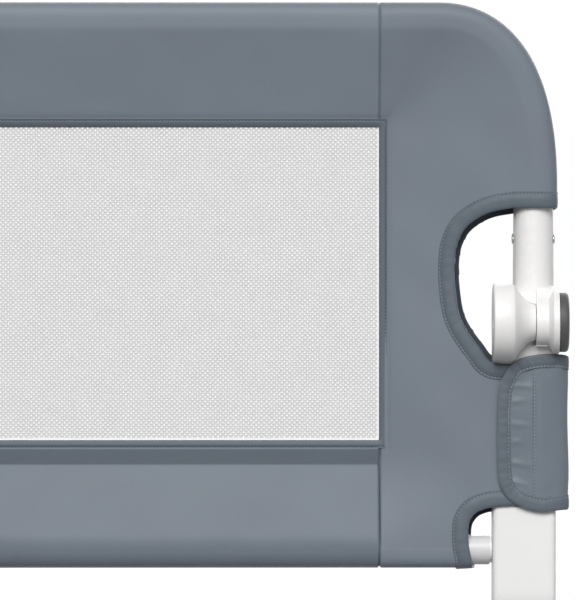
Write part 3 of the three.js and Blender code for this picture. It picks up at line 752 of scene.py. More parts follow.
def mottle_group() -> bpy.types.NodeTree:
    """Uneven tone: broad and fine noise added together, from 0 to 1 about a middle of 0.5.

    Returns:
        The group.
    """
    nodes, given, result = new_group("mottle", ["Vector", "Broad", "Fine"], ["Tone", "Grain"])
    broad = nodes.noise(given["Vector"], given["Broad"], 3)
    fine = nodes.noise(given["Vector"], given["Fine"], 4)
    tone = nodes.sum("ADD", nodes.sum("MULTIPLY", broad, 0.7), nodes.sum("MULTIPLY", fine, 0.3))
    nodes.fill(result, {"Tone": nodes.spread(tone, 0.3, 0.7), "Grain": fine})
    return nodes.tree


def wear_group() -> bpy.types.NodeTree:
    """Rubbed edges where the surface turns outwards, broken up by noise, and painted shade where it
    turns inwards.

    Returns:
        The group.
    """
    nodes, given, result = new_group("wear", ["Vector", "Scale"], ["Edge", "Hollow"])
    turn = nodes.add("ShaderNodeNewGeometry").outputs["Pointiness"]
    patches = nodes.spread(nodes.noise(given["Vector"], given["Scale"], 4), 0.4, 0.6)
    edge = nodes.sum("MULTIPLY", nodes.spread(turn, 0.52, 0.6), patches)
    nodes.fill(result, {"Edge": edge, "Hollow": nodes.spread(turn, 0.49, 0.42)})
    return nodes.tree


@dataclass(frozen=True)
class Effects:
    """The shared node groups, each built once."""

    weave: bpy.types.NodeTree
    mottle: bpy.types.NodeTree
    wear: bpy.types.NodeTree


def blank(name: str) -> tuple[bpy.types.Material, Nodes, bpy.types.Node]:
    """A new material with its nodes and its Principled shader.

    Args:
        name: the material's name.

    Returns:
        The material, its nodes and the shader.
    """
    material = bpy.data.materials.new(name)
    material.use_nodes = True
    return material, Nodes(material.node_tree), material.node_tree.nodes["Principled BSDF"]


# Finishes

@dataclass(frozen=True)
class Finish:
    """A finish: an uneven tone, rubbed edges, painted shade in recesses and a fine relief on one shader.

    A contrast is the factors on the darkest and the lightest tone. Edges and recesses are the share
    of the rubbed edges and of the painted shade that shows, and the factor on the colour there.
    Scales are in waves a metre, and the relief is in millimetres.
    """

    name: str
    colour: Colour
    second: Colour | None = None
    contrast: tuple[float, float] = (0.985, 1.015)
    broad: float = 30
    fine: float = 1400
    wear: float = 160
    edges: tuple[float, float] = (0.0, 1.0)
    hollows: tuple[float, float] = (0.0, 1.0)
    roughness: float = 0.4
    rough_range: float = 0.1
    rough_by: str = "Tone"
    relief: float = 0.012

    def normal(self, nodes: Nodes, effects: Effects, spot: Socket, grain: Socket) -> Socket:
        """The normal of the relief: here, the mottle's fine grain.

        Args:
            nodes: the material's nodes.
            effects: the shared node groups.
            spot: the place on the object.
            grain: the mottle's fine noise.

        Returns:
            The normal.
        """
        return nodes.bump(grain, self.relief)

    def gloss(self) -> dict[str, float]:
        """The shader's fixed values."""
        return {}

    def material(self, effects: Effects) -> bpy.types.Material:
        """Builds the material.

        Args:
            effects: the shared node groups.

        Returns:
            The material.
        """
        material, nodes, shader = blank(self.name)
        spot = nodes.add("ShaderNodeTexCoord").outputs["Object"]
        mottle = nodes.use(effects.mottle, {"Vector": spot, "Broad": self.broad, "Fine": self.fine})
        dark = shade(self.colour, self.contrast[0])
        light = shade(self.second or self.colour, self.contrast[1])
        colour = nodes.blend(mottle["Tone"], dark, light)
        # The edge mask is rubbed edges; the recess mask darkens concave places as painted shade.
        masks = [("Edge", *self.edges), ("Hollow", *self.hollows)]
        masks = [mask for mask in masks if mask[1]]
        wear = nodes.use(effects.wear, {"Vector": spot, "Scale": self.wear}) if masks else {}
        for name, share, factor in masks:
            wear_and_shade_share = nodes.sum("MULTIPLY", wear[name], share)
            colour = nodes.blend(wear_and_shade_share, colour, shade(self.colour, factor))
        smoothest = self.roughness - self.rough_range / 2
        nodes.fill(shader, {
            "Base Color": colour,
            "Roughness": nodes.sum("MULTIPLY_ADD", mottle[self.rough_by], self.rough_range, smoothest),
            "Normal": self.normal(nodes, effects, spot, mottle["Grain"]),
            **self.gloss(),
        })
        return material


@dataclass(frozen=True)
class WovenFinish(Finish):
    """Coated polyester cloth: a fine plain weave, soft creases and a slightly uneven dye."""

    contrast: tuple[float, float] = (0.94, 1.06)
    broad: float = 14
    fine: float = 420
    wear: float = 90
    edges: tuple[float, float] = (0.35, 1.35)
    hollows: tuple[float, float] = (0.4, 0.55)
    roughness: float = 0.5
    rough_range: float = 0.16
    rough_by: str = "Grain"
    relief: float = 0.03
    threads: float = 1900
    crease_height: float = 0.3
    crease_scale: float = 22
    sheen: float = 0.12

    def normal(self, nodes: Nodes, effects: Effects, spot: Socket, grain: Socket) -> Socket:
        """The normal of the weave, which lies on that of the creases.

        Args:
            nodes: the material's nodes.
            effects: the shared node groups.
            spot: the place on the object.
            grain: the mottle's fine noise.

        Returns:
            The normal.
        """
        cloth = nodes.add("ShaderNodeUVMap", uv_map="cloth").outputs[0]
        weave = nodes.use(effects.weave, {"Vector": cloth, "Threads": self.threads})
        creases = nodes.bump(nodes.noise(spot, self.crease_scale, 3), self.crease_height)
        return nodes.bump(weave["Height"], self.relief, creases)

    def gloss(self) -> dict[str, float]:
        """The cloth's sheen and its dull gloss."""
        return {"Sheen Weight": self.sheen, "Sheen Roughness": 0.4, "Specular IOR Level": 0.35}


@dataclass(frozen=True)
class MouldedFinish(Finish):
    """Moulded plastic or rubber: a fine spark grain, painted recess shade and lightly rubbed edges."""

    edges: tuple[float, float] = (0.6, 1.1)
    hollows: tuple[float, float] = (0.6, 0.86)
    roughness: float = 0.42
    rough_range: float = 0.08


@dataclass(frozen=True)
class CoatedFinish(Finish):
    """Powder-coated tube: the orange-peel skin of baked paint under a thin gloss."""

    contrast: tuple[float, float] = (0.985, 1.01)
    broad: float = 9
    fine: float = 650
    wear: float = 120
    edges: tuple[float, float] = (0.4, 0.9)
    roughness: float = 0.34
    relief: float = 0.02

    def gloss(self) -> dict[str, float]:
        """The thin clear coat."""
        return {"Coat Weight": 0.15, "Coat Roughness": 0.2}


@dataclass(frozen=True)
class MetalFinish(Finish):
    """Zinc-plated steel: bright metal with long fine scratches and cloudy patches."""

    contrast: tuple[float, float] = (0.82, 1.1)
    broad: float = 260
    fine: float = 1800
    wear: float = 300
    edges: tuple[float, float] = (1.0, 1.25)
    roughness: float = 0.34
    rough_range: float = 0.2
    relief: float = 0.008

    def normal(self, nodes: Nodes, effects: Effects, spot: Socket, grain: Socket) -> Socket:
        """The normal of scratches drawn out along X."""
        drawn = nodes.add("ShaderNodeMapping", {"Vector": spot, "Scale": (200, 3000, 3000)})
        return nodes.bump(nodes.noise(drawn.outputs[0], 1.0, 4), self.relief)

    def gloss(self) -> dict[str, float]:
        """Metal all through."""
        return {"Metallic": 1.0}


@dataclass(frozen=True)
class FibreFinish(Finish):
    """Loose fibre, such as sewing thread, net yarn or hook-and-loop pile: short twisted ridges."""

    contrast: tuple[float, float] = (0.9, 1.1)
    broad: float = 60
    fine: float = 2200
    roughness: float = 0.8
    rough_range: float = 0.0
    relief: float = 0.05

    def normal(self, nodes: Nodes, effects: Effects, spot: Socket, grain: Socket) -> Socket:
        """The normal of the twist: the grain with some of the weave on it.

        Args:
            nodes: the material's nodes.
            effects: the shared node groups.
            spot: the place on the object.
            grain: the mottle's fine noise.

        Returns:
            The normal.
        """
        weave = nodes.use(effects.weave, {"Vector": spot, "Threads": self.fine})
        twist = nodes.sum("ADD", grain, nodes.sum("MULTIPLY", weave["Height"], 0.4))
        return nodes.bump(twist, self.relief)

    def gloss(self) -> dict[str, float]:
        """The fibre's sheen and its dull gloss."""
        return {"Sheen Weight": 0.2, "Specular IOR Level": 0.3}


Paint = dict[str, bpy.types.Material]

FINISHES: dict[str, Finish] = {
    "cloth": WovenFinish("cover_cloth", (108, 115, 125), (104, 113, 122), sheen=0.04),
    # The top and bottom strips take a lighter and a darker copy of the cover cloth: painted light and
    # painted shade.
    "top": WovenFinish("top_cloth", (111, 119, 129), (108, 117, 126), sheen=0.04),
    "bottom": WovenFinish("bottom_cloth", (103, 111, 121), (100, 109, 118), sheen=0.04),
    "binding": WovenFinish(
        "binding_cloth", (86, 94, 103), (80, 89, 98), crease_scale=160, crease_height=0.12
    ),
    # The inner faces: a dark copy of the cover cloth, painted shade where the openings show them.
    "inner_shade": WovenFinish("cloth_back", (56, 63, 74), (52, 60, 70), roughness=0.65, sheen=0.0),
    "flap": WovenFinish(
        "flap_cloth", (101, 110, 119), (97, 107, 115), roughness=0.38, crease_scale=60,
        crease_height=0.6,
    ),
    "stitch": FibreFinish("sewing_thread", (132, 140, 150)),
    # A dark copy of the sewing thread for the window's hem stitches: painted shade of the hem's groove.
    "seam": FibreFinish("seam_thread", (66, 74, 84)),
    # The net's yarn is white; its grey colour is painted shade.
    "net": FibreFinish("net_yarn", (208, 208, 208), contrast=(0.97, 1.03), relief=0.02),
    "selvedge": FibreFinish("white_selvedge", (246, 246, 246), contrast=(0.98, 1.02)),
    "hook": FibreFinish("hook_pile", (72, 80, 89), fine=1500, relief=0.3),
    "loop": FibreFinish("loop_pile", (84, 92, 101), fine=900, relief=0.4),
    "plastic": MouldedFinish("white_plastic", (230, 229, 228)),
    "dark": MouldedFinish("dark_plastic", (66, 66, 67), roughness=0.55, contrast=(0.95, 1.05)),
    "rubber": MouldedFinish(
        "pad_rubber", (46, 46, 47), roughness=0.8, contrast=(0.9, 1.1), fine=900, relief=0.05
    ),
    "steel": CoatedFinish("white_steel", (228, 228, 227)),
    # A darker copy of the white steel for the bars: painted shade.
    "tube": CoatedFinish("white_tube", (208, 208, 208)),
    "zinc": MetalFinish("zinc_steel", (176, 178, 181)),
}


def mixed_paint() -> Paint:
    """Every material of the rail, built once from its finish."""
    effects = Effects(weave_group(), mottle_group(), wear_group())
    return {use: finish.material(effects) for use, finish in FINISHES.items()}


def dress(obj: bpy.types.Object, material: bpy.types.Material) -> bpy.types.Object:
    """Gives a piece its material.

    Args:
        obj: the piece.
        material: its material.

    Returns:
        The same piece.
    """
    obj.data.materials.clear()
    obj.data.materials.append(material)
    return obj


# Cover

HINGE_Z = 252.28
HINGE_Y = -17.0
# Cloth on each side of the hinge that bends with it.
FOLD_REACH = 27.0
# Rows and columns stand closer together at a sewn seam and at the window's hem.
FROM_SEAM = np.array([0, 0.5, 1, 1.6, 2.4, 3.6, 5.2, 7.5])
FROM_HEM = np.array([0, 0.5, 1, 1.6, 2.4, 3.4, 4.5, 5.2, 5.8, 6.5, 7.5, 9])
# Angle above which an edge in cloth stays sharp.
CLOTH_SHARP = 60.0
# An opening's outline runs this far past the cover.
PAST_COVER = 30.0
# Places between two points of a cut edge, and those of the notch's upper bend.
EDGE_STEPS = 10
UPPER_BEND = 2 * EDGE_STEPS


def bend_with_hinge(obj: bpy.types.Object) -> bpy.types.Object:
    """Lets cloth bend between the posts and the upper frame, over a half turn's length of cloth.

    Args:
        obj: the finished cloth piece.

    Returns:
        The same piece.
    """
    y = (HINGE_Y + MIDDLE_Y) * MM
    low, high = (HINGE_Z - FOLD_REACH) * MM, (HINGE_Z + FOLD_REACH) * MM
    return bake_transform(obj, "base", "upper_frame", start=(0, y, low), end=(0, y, high))


@dataclass(frozen=True)
class CoverForm:
    """Where the cover's cloth lies: half its thickness at each place, and its outline.

    Sizes are in millimetres. The pulls shape the corner's curve, the squareness is the power n of
    the cloth round a tube, and the post's swell is the power by which the cloth rises from the
    window to the post. The blends are heights between which one section passes into the next.
    """

    half_length: float = 510.0
    ground: float = 70.0
    top: float = 490.0
    edge_radius: float = 17.7
    sleeve_radius: float = 13.4
    hem_half: float = 1.5
    window_x: float = 377.8
    window_top: float = 397.8
    window_bottom: float = 164.6
    crease_z: float = 149.2
    corner_reach: float = 69.8
    corner_drop: float = 117.3
    top_pull: float = 0.28
    side_pull: float = 0.56
    post_x: float = 461.4
    tab_end: float = 505.3
    tab_half: float = 12.6
    seam_depth: float = 1.3
    seam_width: float = 0.75
    hem_tuck: float = 0.8
    bar_room: float = 12.0
    hem_width: float = 5.8
    squareness: float = 4.0
    groove_depth: float = 0.5
    groove_width: float = 1.1
    groove_out: float = 0.6
    post_swell: float = 2.2
    bar_blend: tuple[float, float] = (8.0, 4.0)
    post_blend: tuple[float, float] = (212.0, 292.0)

    @property
    def side_x(self) -> float:
        """X of the side tube's axis."""
        return self.half_length - self.edge_radius

    @property
    def path_top(self) -> float:
        """Height of the top tube's axis."""
        return self.top - self.edge_radius

    @property
    def corner_foot(self) -> float:
        """Height at which the side starts to bend."""
        return self.path_top - self.corner_drop

    @property
    def bar_z(self) -> float:
        """Height of the lower bar's axis."""
        return self.ground + self.sleeve_radius

    def corner(self, steps: int) -> tuple[Array, Array]:
        """The cubic curve of the upper corner.

        Args:
            steps: number of places on it.

        Returns:
            Places (steps, 2) in X and Z, and the outward unit direction at each.
        """
        t = np.linspace(0, 1, steps)[:, None]
        foot = np.array([self.side_x, self.corner_foot])
        rise = foot + [0, self.side_pull * self.corner_drop]
        lean = np.array([self.side_x - self.top_pull * self.corner_reach, self.path_top])
        end = np.array([self.side_x - self.corner_reach, self.path_top])
        place = (1 - t) ** 3 * foot + 3 * (1 - t) ** 2 * t * rise
        place = place + 3 * (1 - t) * t**2 * lean + t**3 * end
        slope = (1 - t) ** 2 * (rise - foot) + 2 * (1 - t) * t * (lean - rise) + t**2 * (end - lean)
        return place, rightwards(unit(slope))

    def around(self, turn: Array, radius: float) -> Array:
        """The cloth's distance from the axis of a tube: a circle squared off by the seam allowance
        inside it, R / (|sin t|^n + |cos t|^n)^(1/n) from the front to the back.

        Args:
            turn: angle t round the tube from the front.
            radius: R, of the circle.

        Returns:
            The distance at each angle.
        """
        turn, n = np.clip(turn, 0, math.pi), self.squareness
        return radius / (np.abs(np.sin(turn)) ** n + np.abs(np.cos(turn)) ** n) ** (1 / n)

    def tangent(self, reach: Array) -> tuple[Array, Array]:
        """Where the flat cloth leaves the tube: the angle of the line that touches a circle.

        Args:
            reach: distance from the window's hem to the tube's axis.

        Returns:
            The angle before the tube's front, and the length of the flat part.
        """
        angle = np.arcsin(self.edge_radius / np.hypot(reach, self.hem_half))
        angle = angle - np.arctan2(self.hem_half, reach)
        return angle, reach - self.edge_radius * np.sin(angle)

    def seam(self, x: Array) -> Array:
        """Depth of the sewn seams beside the window: a narrow bell about their place."""
        return self.seam_depth * np.exp(-(((np.abs(x) - self.window_x) / self.seam_width) ** 2))

    def hem_groove(self, x: Array, z: Array) -> Array:
        """Depth of the sewn groove outside the window's hem: a bell about its width.

        Args:
            x: distance from the rail's middle.
            z: height.

        Returns:
            The depth at each place.
        """
        beside = np.maximum(np.abs(x) - self.window_x, 0)
        above = np.maximum(z - self.window_top, self.window_bottom - z)
        away = np.maximum(beside, above) - self.hem_width - self.groove_out
        return self.groove_depth * np.exp(-((away / self.groove_width) ** 2))

    def relief(self, x: Array, z: Array) -> Array:
        """Low, slow waves in the cloth: three pairs of crossed sines of unlike lengths.

        Args:
            x: place along the rail.
            z: height.

        Returns:
            How far the cloth stands out at each place.
        """
        slow = 0.28 * np.sin(x / 19 + z / 37 + 0.6) * np.sin(z / 29 - x / 47)
        slant = 0.18 * np.sin((x + z) / 13.0) * np.sin((x - 0.6 * z) / 31)
        short = 0.1 * np.sin(x / 7.3) * np.sin(z / 9.1 + 1.1)
        return slow + slant + short

    def half(self, x: Array, z: Array) -> Array:
        """Half the cover's thickness on the end panel, below the corner.

        Above the hinge it grows in a straight line from the hem to the tube. Below, it grows to the
        post's side and stays there, and from the crease down it runs to the bar's sleeve.

        Args:
            x: distance from the rail's middle.
            z: height.

        Returns:
            The distance from the middle plane to the outer face.
        """
        from_hem = np.maximum(np.abs(x) - self.window_x, 0)
        angle, flat = self.tangent(np.array(self.side_x - self.window_x))
        upper = mix(self.hem_half, self.edge_radius * np.cos(angle), np.minimum(from_hem / flat, 1))
        share = from_hem / (self.post_x - self.window_x)
        rise = 1 - np.clip(1 - share, 0, 1) ** self.post_swell
        lower = mix(self.hem_half, self.tab_half, rise)
        above, below = self.bar_blend
        sleeve = smoothstep(-z, -self.crease_z - above, -self.bar_z + below)
        lower = mix(lower, self.sleeve_radius, sleeve)
        return mix(lower, upper, smoothstep(z, *self.post_blend))


@dataclass(frozen=True)
class CutOut:
    """A bound opening in the cover's outer edge.

    Shares are its edge's places, as shares of its depth and height. The back layer is cut back by
    the inset, and at its foot by the foot's inset. A foot inset of 0 stands for an edge that runs
    down past the cover's bottom.
    """

    name: str
    depth: float
    height: float
    top: float
    inset: float
    foot_inset: float
    shares: tuple[tuple[float, float], ...]
    centre: tuple[float, float]

    def edge(self, form: CoverForm, layer: Layer, far: float) -> Array:
        """The cut edge of one layer, from the lower end round to the upper one.

        Args:
            form: the cover's form.
            layer: front, or back, which is cut back by the inset.
            far: X at which the straight ends stop.

        Returns:
            Places in X and Z, (n, 2).
        """
        drawn = 0.0 if layer is Layer.FRONT else self.inset
        height = self.height - (drawn + self.foot_inset * (drawn > 0))
        shares = np.array(self.shares)
        top = self.top - drawn
        across = form.half_length - shares[:, 0] * (self.depth - drawn)
        curve = spline(np.stack([across, top - shares[:, 1] * height], axis=1), EDGE_STEPS)
        below = form.ground - PAST_COVER
        foot = [far, curve[-1, 1]] if self.foot_inset else [curve[-1, 0], below]
        return np.vstack([[[far, top]], curve, [foot]])[::-1]

    def region(self, form: CoverForm, layer: Layer) -> Array:
        """The closed outline of the opening, run out past the cover.

        Args:
            form: the cover's form.
            layer: front or back.

        Returns:
            Places in X and Z, (n, 2).
        """
        far = form.half_length + PAST_COVER
        edge = self.edge(form, layer, far)
        return np.vstack([edge, [[far, edge[0, 1]]]])


GRIP = CutOut(
    "grip", 76.9, 116.4, 337.48, 4, 4,
    (
        (0.43, 0), (0.63, 0.024), (0.783, 0.07), (0.906, 0.141), (0.977, 0.243), (1, 0.367),
        (0.993, 0.498), (0.954, 0.671), (0.877, 0.785), (0.751, 0.9), (0.64, 0.985), (0.43, 1),
    ),
    (505, 279),
)
NOTCH = CutOut(
    "notch", 66.4, 46.2, 116.2, 3, 0,
    (
        (0.488, 0), (0.73, 0.024), (0.894, 0.094), (0.971, 0.205), (1, 0.339), (1, 0.621),
        (0.971, 0.839), (0.96, 1),
    ),
    (505, 75),
)


def trimmed(grid: Array, uv: Array, form: CoverForm, layer: Layer) -> Surface:
    """A flat layer of the end panel with its cut-outs taken away.

    Faces wholly inside an opening are left out, and points inside it that other faces still need
    move to the nearest place on its edge.

    Args:
        grid: the layer's points, (rows, columns, 3).
        uv: its cloth coordinates, (rows, columns, 2).
        form: the cover's form.
        layer: front or back.

    Returns:
        The trimmed sheet.
    """
    points = grid.reshape(-1, 3).copy()
    flat = points[:, [0, 2]]
    faces = grid_faces(*grid.shape[:2])
    gone = np.zeros(len(points), bool)
    for opening in (GRIP, NOTCH):
        within = inside(flat, opening.region(form, layer))
        edge = opening.edge(form, layer, form.half_length + PAST_COVER)
        needed = np.zeros(len(points), bool)
        needed[faces[~within[faces].all(axis=1)].ravel()] = True
        shift = within & needed
        points[np.flatnonzero(shift)[:, None], [0, 2]] = nearest(flat[shift], edge)
        gone |= within
    return Surface(points, [faces[~gone[faces].all(axis=1)]], uv.reshape(-1, 2))


def notch_round(form: CoverForm, turn: Array) -> tuple[Array, Array]:
    """The notch's edge round the bar's sleeve: it passes from the front layer's edge to the back
    layer's between a quarter and three quarters of the half turn.

    Args:
        form: the cover's form.
        turn: angle round the bar from the front.

    Returns:
        X of the edge, and X of the front layer's edge at the same height.
    """
    z = form.bar_z - form.sleeve_radius * np.sin(turn)
    edges = [NOTCH.edge(form, layer, form.half_length)[:-UPPER_BEND] for layer in Layer]
    front, back = (np.interp(z, edge[:, 1], edge[:, 0]) for edge in edges)
    return mix(front, back, smoothstep(turn, 0.25 * math.pi, 0.75 * math.pi)), front


@dataclass
class EndPanel:
    """The end panel of the cover: one piece of cloth folded round the tube and the bar.

    The waves die away over still_hem from the hem and still_edge before the flat part's end, and
    the back layer's waves are the front's from further along.
    """

    form: CoverForm
    cloth: float = 0.8
    step: float = 2.8
    wrap_steps: int = 30
    corner_steps: int = 58
    seam_end: float = 9.0
    hem_end: float = 11.5
    flat_blend: tuple[float, float] = (235.0, 320.0)
    still_hem: tuple[float, float] = (4.0, 20.0)
    still_edge: tuple[float, float] = (0.0, 14.0)
    still_bar: float = 25.0
    back_shift: float = 90.0
    seam_reach: float = 4.0
    lean_over: float = 0.7

    def out_from_hem(self, full: float) -> Array:
        """Distances from the window's hem to the tab's end, closer together at the hem."""
        return np.concatenate([FROM_HEM, np.arange(self.hem_end, full - 1, self.step), [full]])

    def stations(self) -> tuple[Array, Array, Array]:
        """Places up the side, round the corner and along the top to the seam.

        Returns:
            The tube's axis (n, 2), the outward direction and the nearest place of the hem.
        """
        form = self.form
        cuts = [GRIP.top, GRIP.top - GRIP.inset, GRIP.top - GRIP.height, NOTCH.top, form.crease_z]
        levels = np.arange(form.bar_z, form.corner_foot - self.step / 2, self.step)
        levels = np.unique(np.concatenate([levels, cuts]))
        side = np.stack([np.full(len(levels), form.side_x), levels], axis=1)
        corner, turned = form.corner(self.corner_steps)
        start = form.side_x - form.corner_reach - form.window_x
        along = np.arange(start - self.step, self.seam_end, -self.step)
        along = np.concatenate([along, FROM_SEAM[::-1]])
        top = np.stack([form.window_x + along, np.full(len(along), form.path_top)], axis=1)
        axis = np.vstack([side, corner, top])
        right, up = np.tile([1.0, 0.0], (len(side), 1)), np.tile([0.0, 1.0], (len(top), 1))
        outward = np.vstack([right, turned, up])
        hem = np.minimum(axis, [form.window_x, form.window_top])
        return axis, outward, hem

    def layer(self, layer: Layer) -> Surface:
        """One flat layer, from the hem or seam out to the tube or the tab's end.

        Args:
            layer: front or back.

        Returns:
            The layer with its cut-outs.
        """
        form = self.form
        axis, _, hem = self.stations()
        reach = np.linalg.norm(axis - hem, axis=1)
        away = unit(axis - hem)
        angle, flat = form.tangent(reach)
        full = form.tab_end - form.window_x
        share = self.out_from_hem(full) / full
        lower = 1 - smoothstep(axis[:, 1], *self.flat_blend)
        run = mix(flat, full, lower)[:, None] * share
        place = hem[:, None] + away[:, None] * run[..., None]
        x, z = place[..., 0], place[..., 1]
        cone = mix(form.hem_half, (form.edge_radius * np.cos(angle))[:, None], run / flat[:, None])
        half = np.where(axis[:, 1:] < form.corner_foot - 1, form.half(x, z), cone)
        still = smoothstep(flat[:, None] - run, *self.still_edge)
        still = np.minimum(smoothstep(run, *self.still_hem), still)
        still = still * smoothstep(z, form.bar_z, form.bar_z + self.still_bar)
        waves = form.relief(x + self.back_shift * layer.value, z) * still
        seam = form.seam(x) * (run > 0) * (x < form.window_x + self.seam_reach)
        half = half + waves - seam - form.hem_groove(x, z) * (x - form.window_x > 0.5)
        over_bar = np.sqrt(np.maximum(form.bar_room**2 - (z - form.bar_z) ** 2, 0))
        half = np.where(run == 0, np.maximum(form.hem_half - form.hem_tuck, over_bar), half)
        grid = np.stack([x, layer.value * half, z], axis=-1)
        whole = 2 * flat[:, None] + math.pi * form.edge_radius
        spread = run if layer is Layer.FRONT else whole - run
        uv = (hem[:, None] + away[:, None] * spread[..., None]) * MM
        return trimmed(grid, uv, form, layer)

    def wrap(self) -> Surface:
        """The cloth round the side tube, the corner and the top tube, above the grip opening.

        Returns:
            The open sheet.
        """
        form = self.form
        axis, outward, hem = self.stations()
        start = int(np.searchsorted(axis[: len(axis) // 2, 1], GRIP.top - GRIP.inset - 0.01))
        axis, outward, hem = axis[start:], outward[start:], hem[start:]
        away = unit(axis - hem)
        angle, flat = form.tangent(np.linalg.norm(axis - hem, axis=1))
        share = np.linspace(0, 1, self.wrap_steps + 1)
        turn = -angle[:, None] + share * (math.pi + 2 * angle[:, None])
        from_flat = np.minimum(turn, math.pi - turn) + angle[:, None]
        lean = smoothstep(from_flat, 0, self.lean_over)
        facing = unit(mix(away[:, None], outward[:, None], lean[..., None]))
        radius = form.around(turn, form.edge_radius) - form.seam(axis[:, :1])
        place = axis[:, None] + facing * (radius * np.sin(turn))[..., None]
        y = -radius * np.cos(turn)
        cut = GRIP.top - GRIP.inset * smoothstep(share, 0.5, 1)
        place[..., 1] = np.maximum(place[..., 1], cut)
        grid = np.stack([place[..., 0], y, place[..., 1]], axis=-1)
        spread = flat[:, None] + form.edge_radius * (turn + angle[:, None])
        uv = (hem[:, None] + away[:, None] * spread[..., None]) * MM
        return grid_surface(grid, uv)

    def sleeve(self) -> Surface:
        """The cloth round the lower bar, up to the notch.

        Returns:
            The open sheet.
        """
        form = self.form
        along = form.window_x + self.out_from_hem(form.tab_end - form.window_x)
        turn = np.linspace(0, math.pi, self.wrap_steps + 1)[:, None]
        limit, front = notch_round(form, turn)
        along = along[along < front.max() + self.step]
        x = np.minimum(along[None], limit)
        radius = form.around(turn, form.sleeve_radius) - form.seam(x)
        radius[:, 0] = form.bar_room
        grid = np.stack([x, -radius * np.cos(turn), form.bar_z - radius * np.sin(turn)], axis=-1)
        uv = np.stack([x, form.bar_z - form.sleeve_radius * turn + 0 * x], axis=-1) * MM
        return grid_surface(grid, uv)

    def build(self, side: Side, paint: Paint) -> bpy.types.Object:
        """Sews the layers and wraps into one sheet.

        Args:
            side: the end of the rail.
            paint: the materials.

        Returns:
            The panel.
        """
        front, back = (self.layer(layer) for layer in Layer)
        whole = together([front, self.wrap(), back, self.sleeve()]).at(side)
        obj = make_object(f"end_panel_{side.tag}", whole, sharp=CLOTH_SHARP, facing=Facing.APART)
        line(obj, self.cloth, paint["cloth"], paint["inner_shade"])
        return bend_with_hinge(obj)


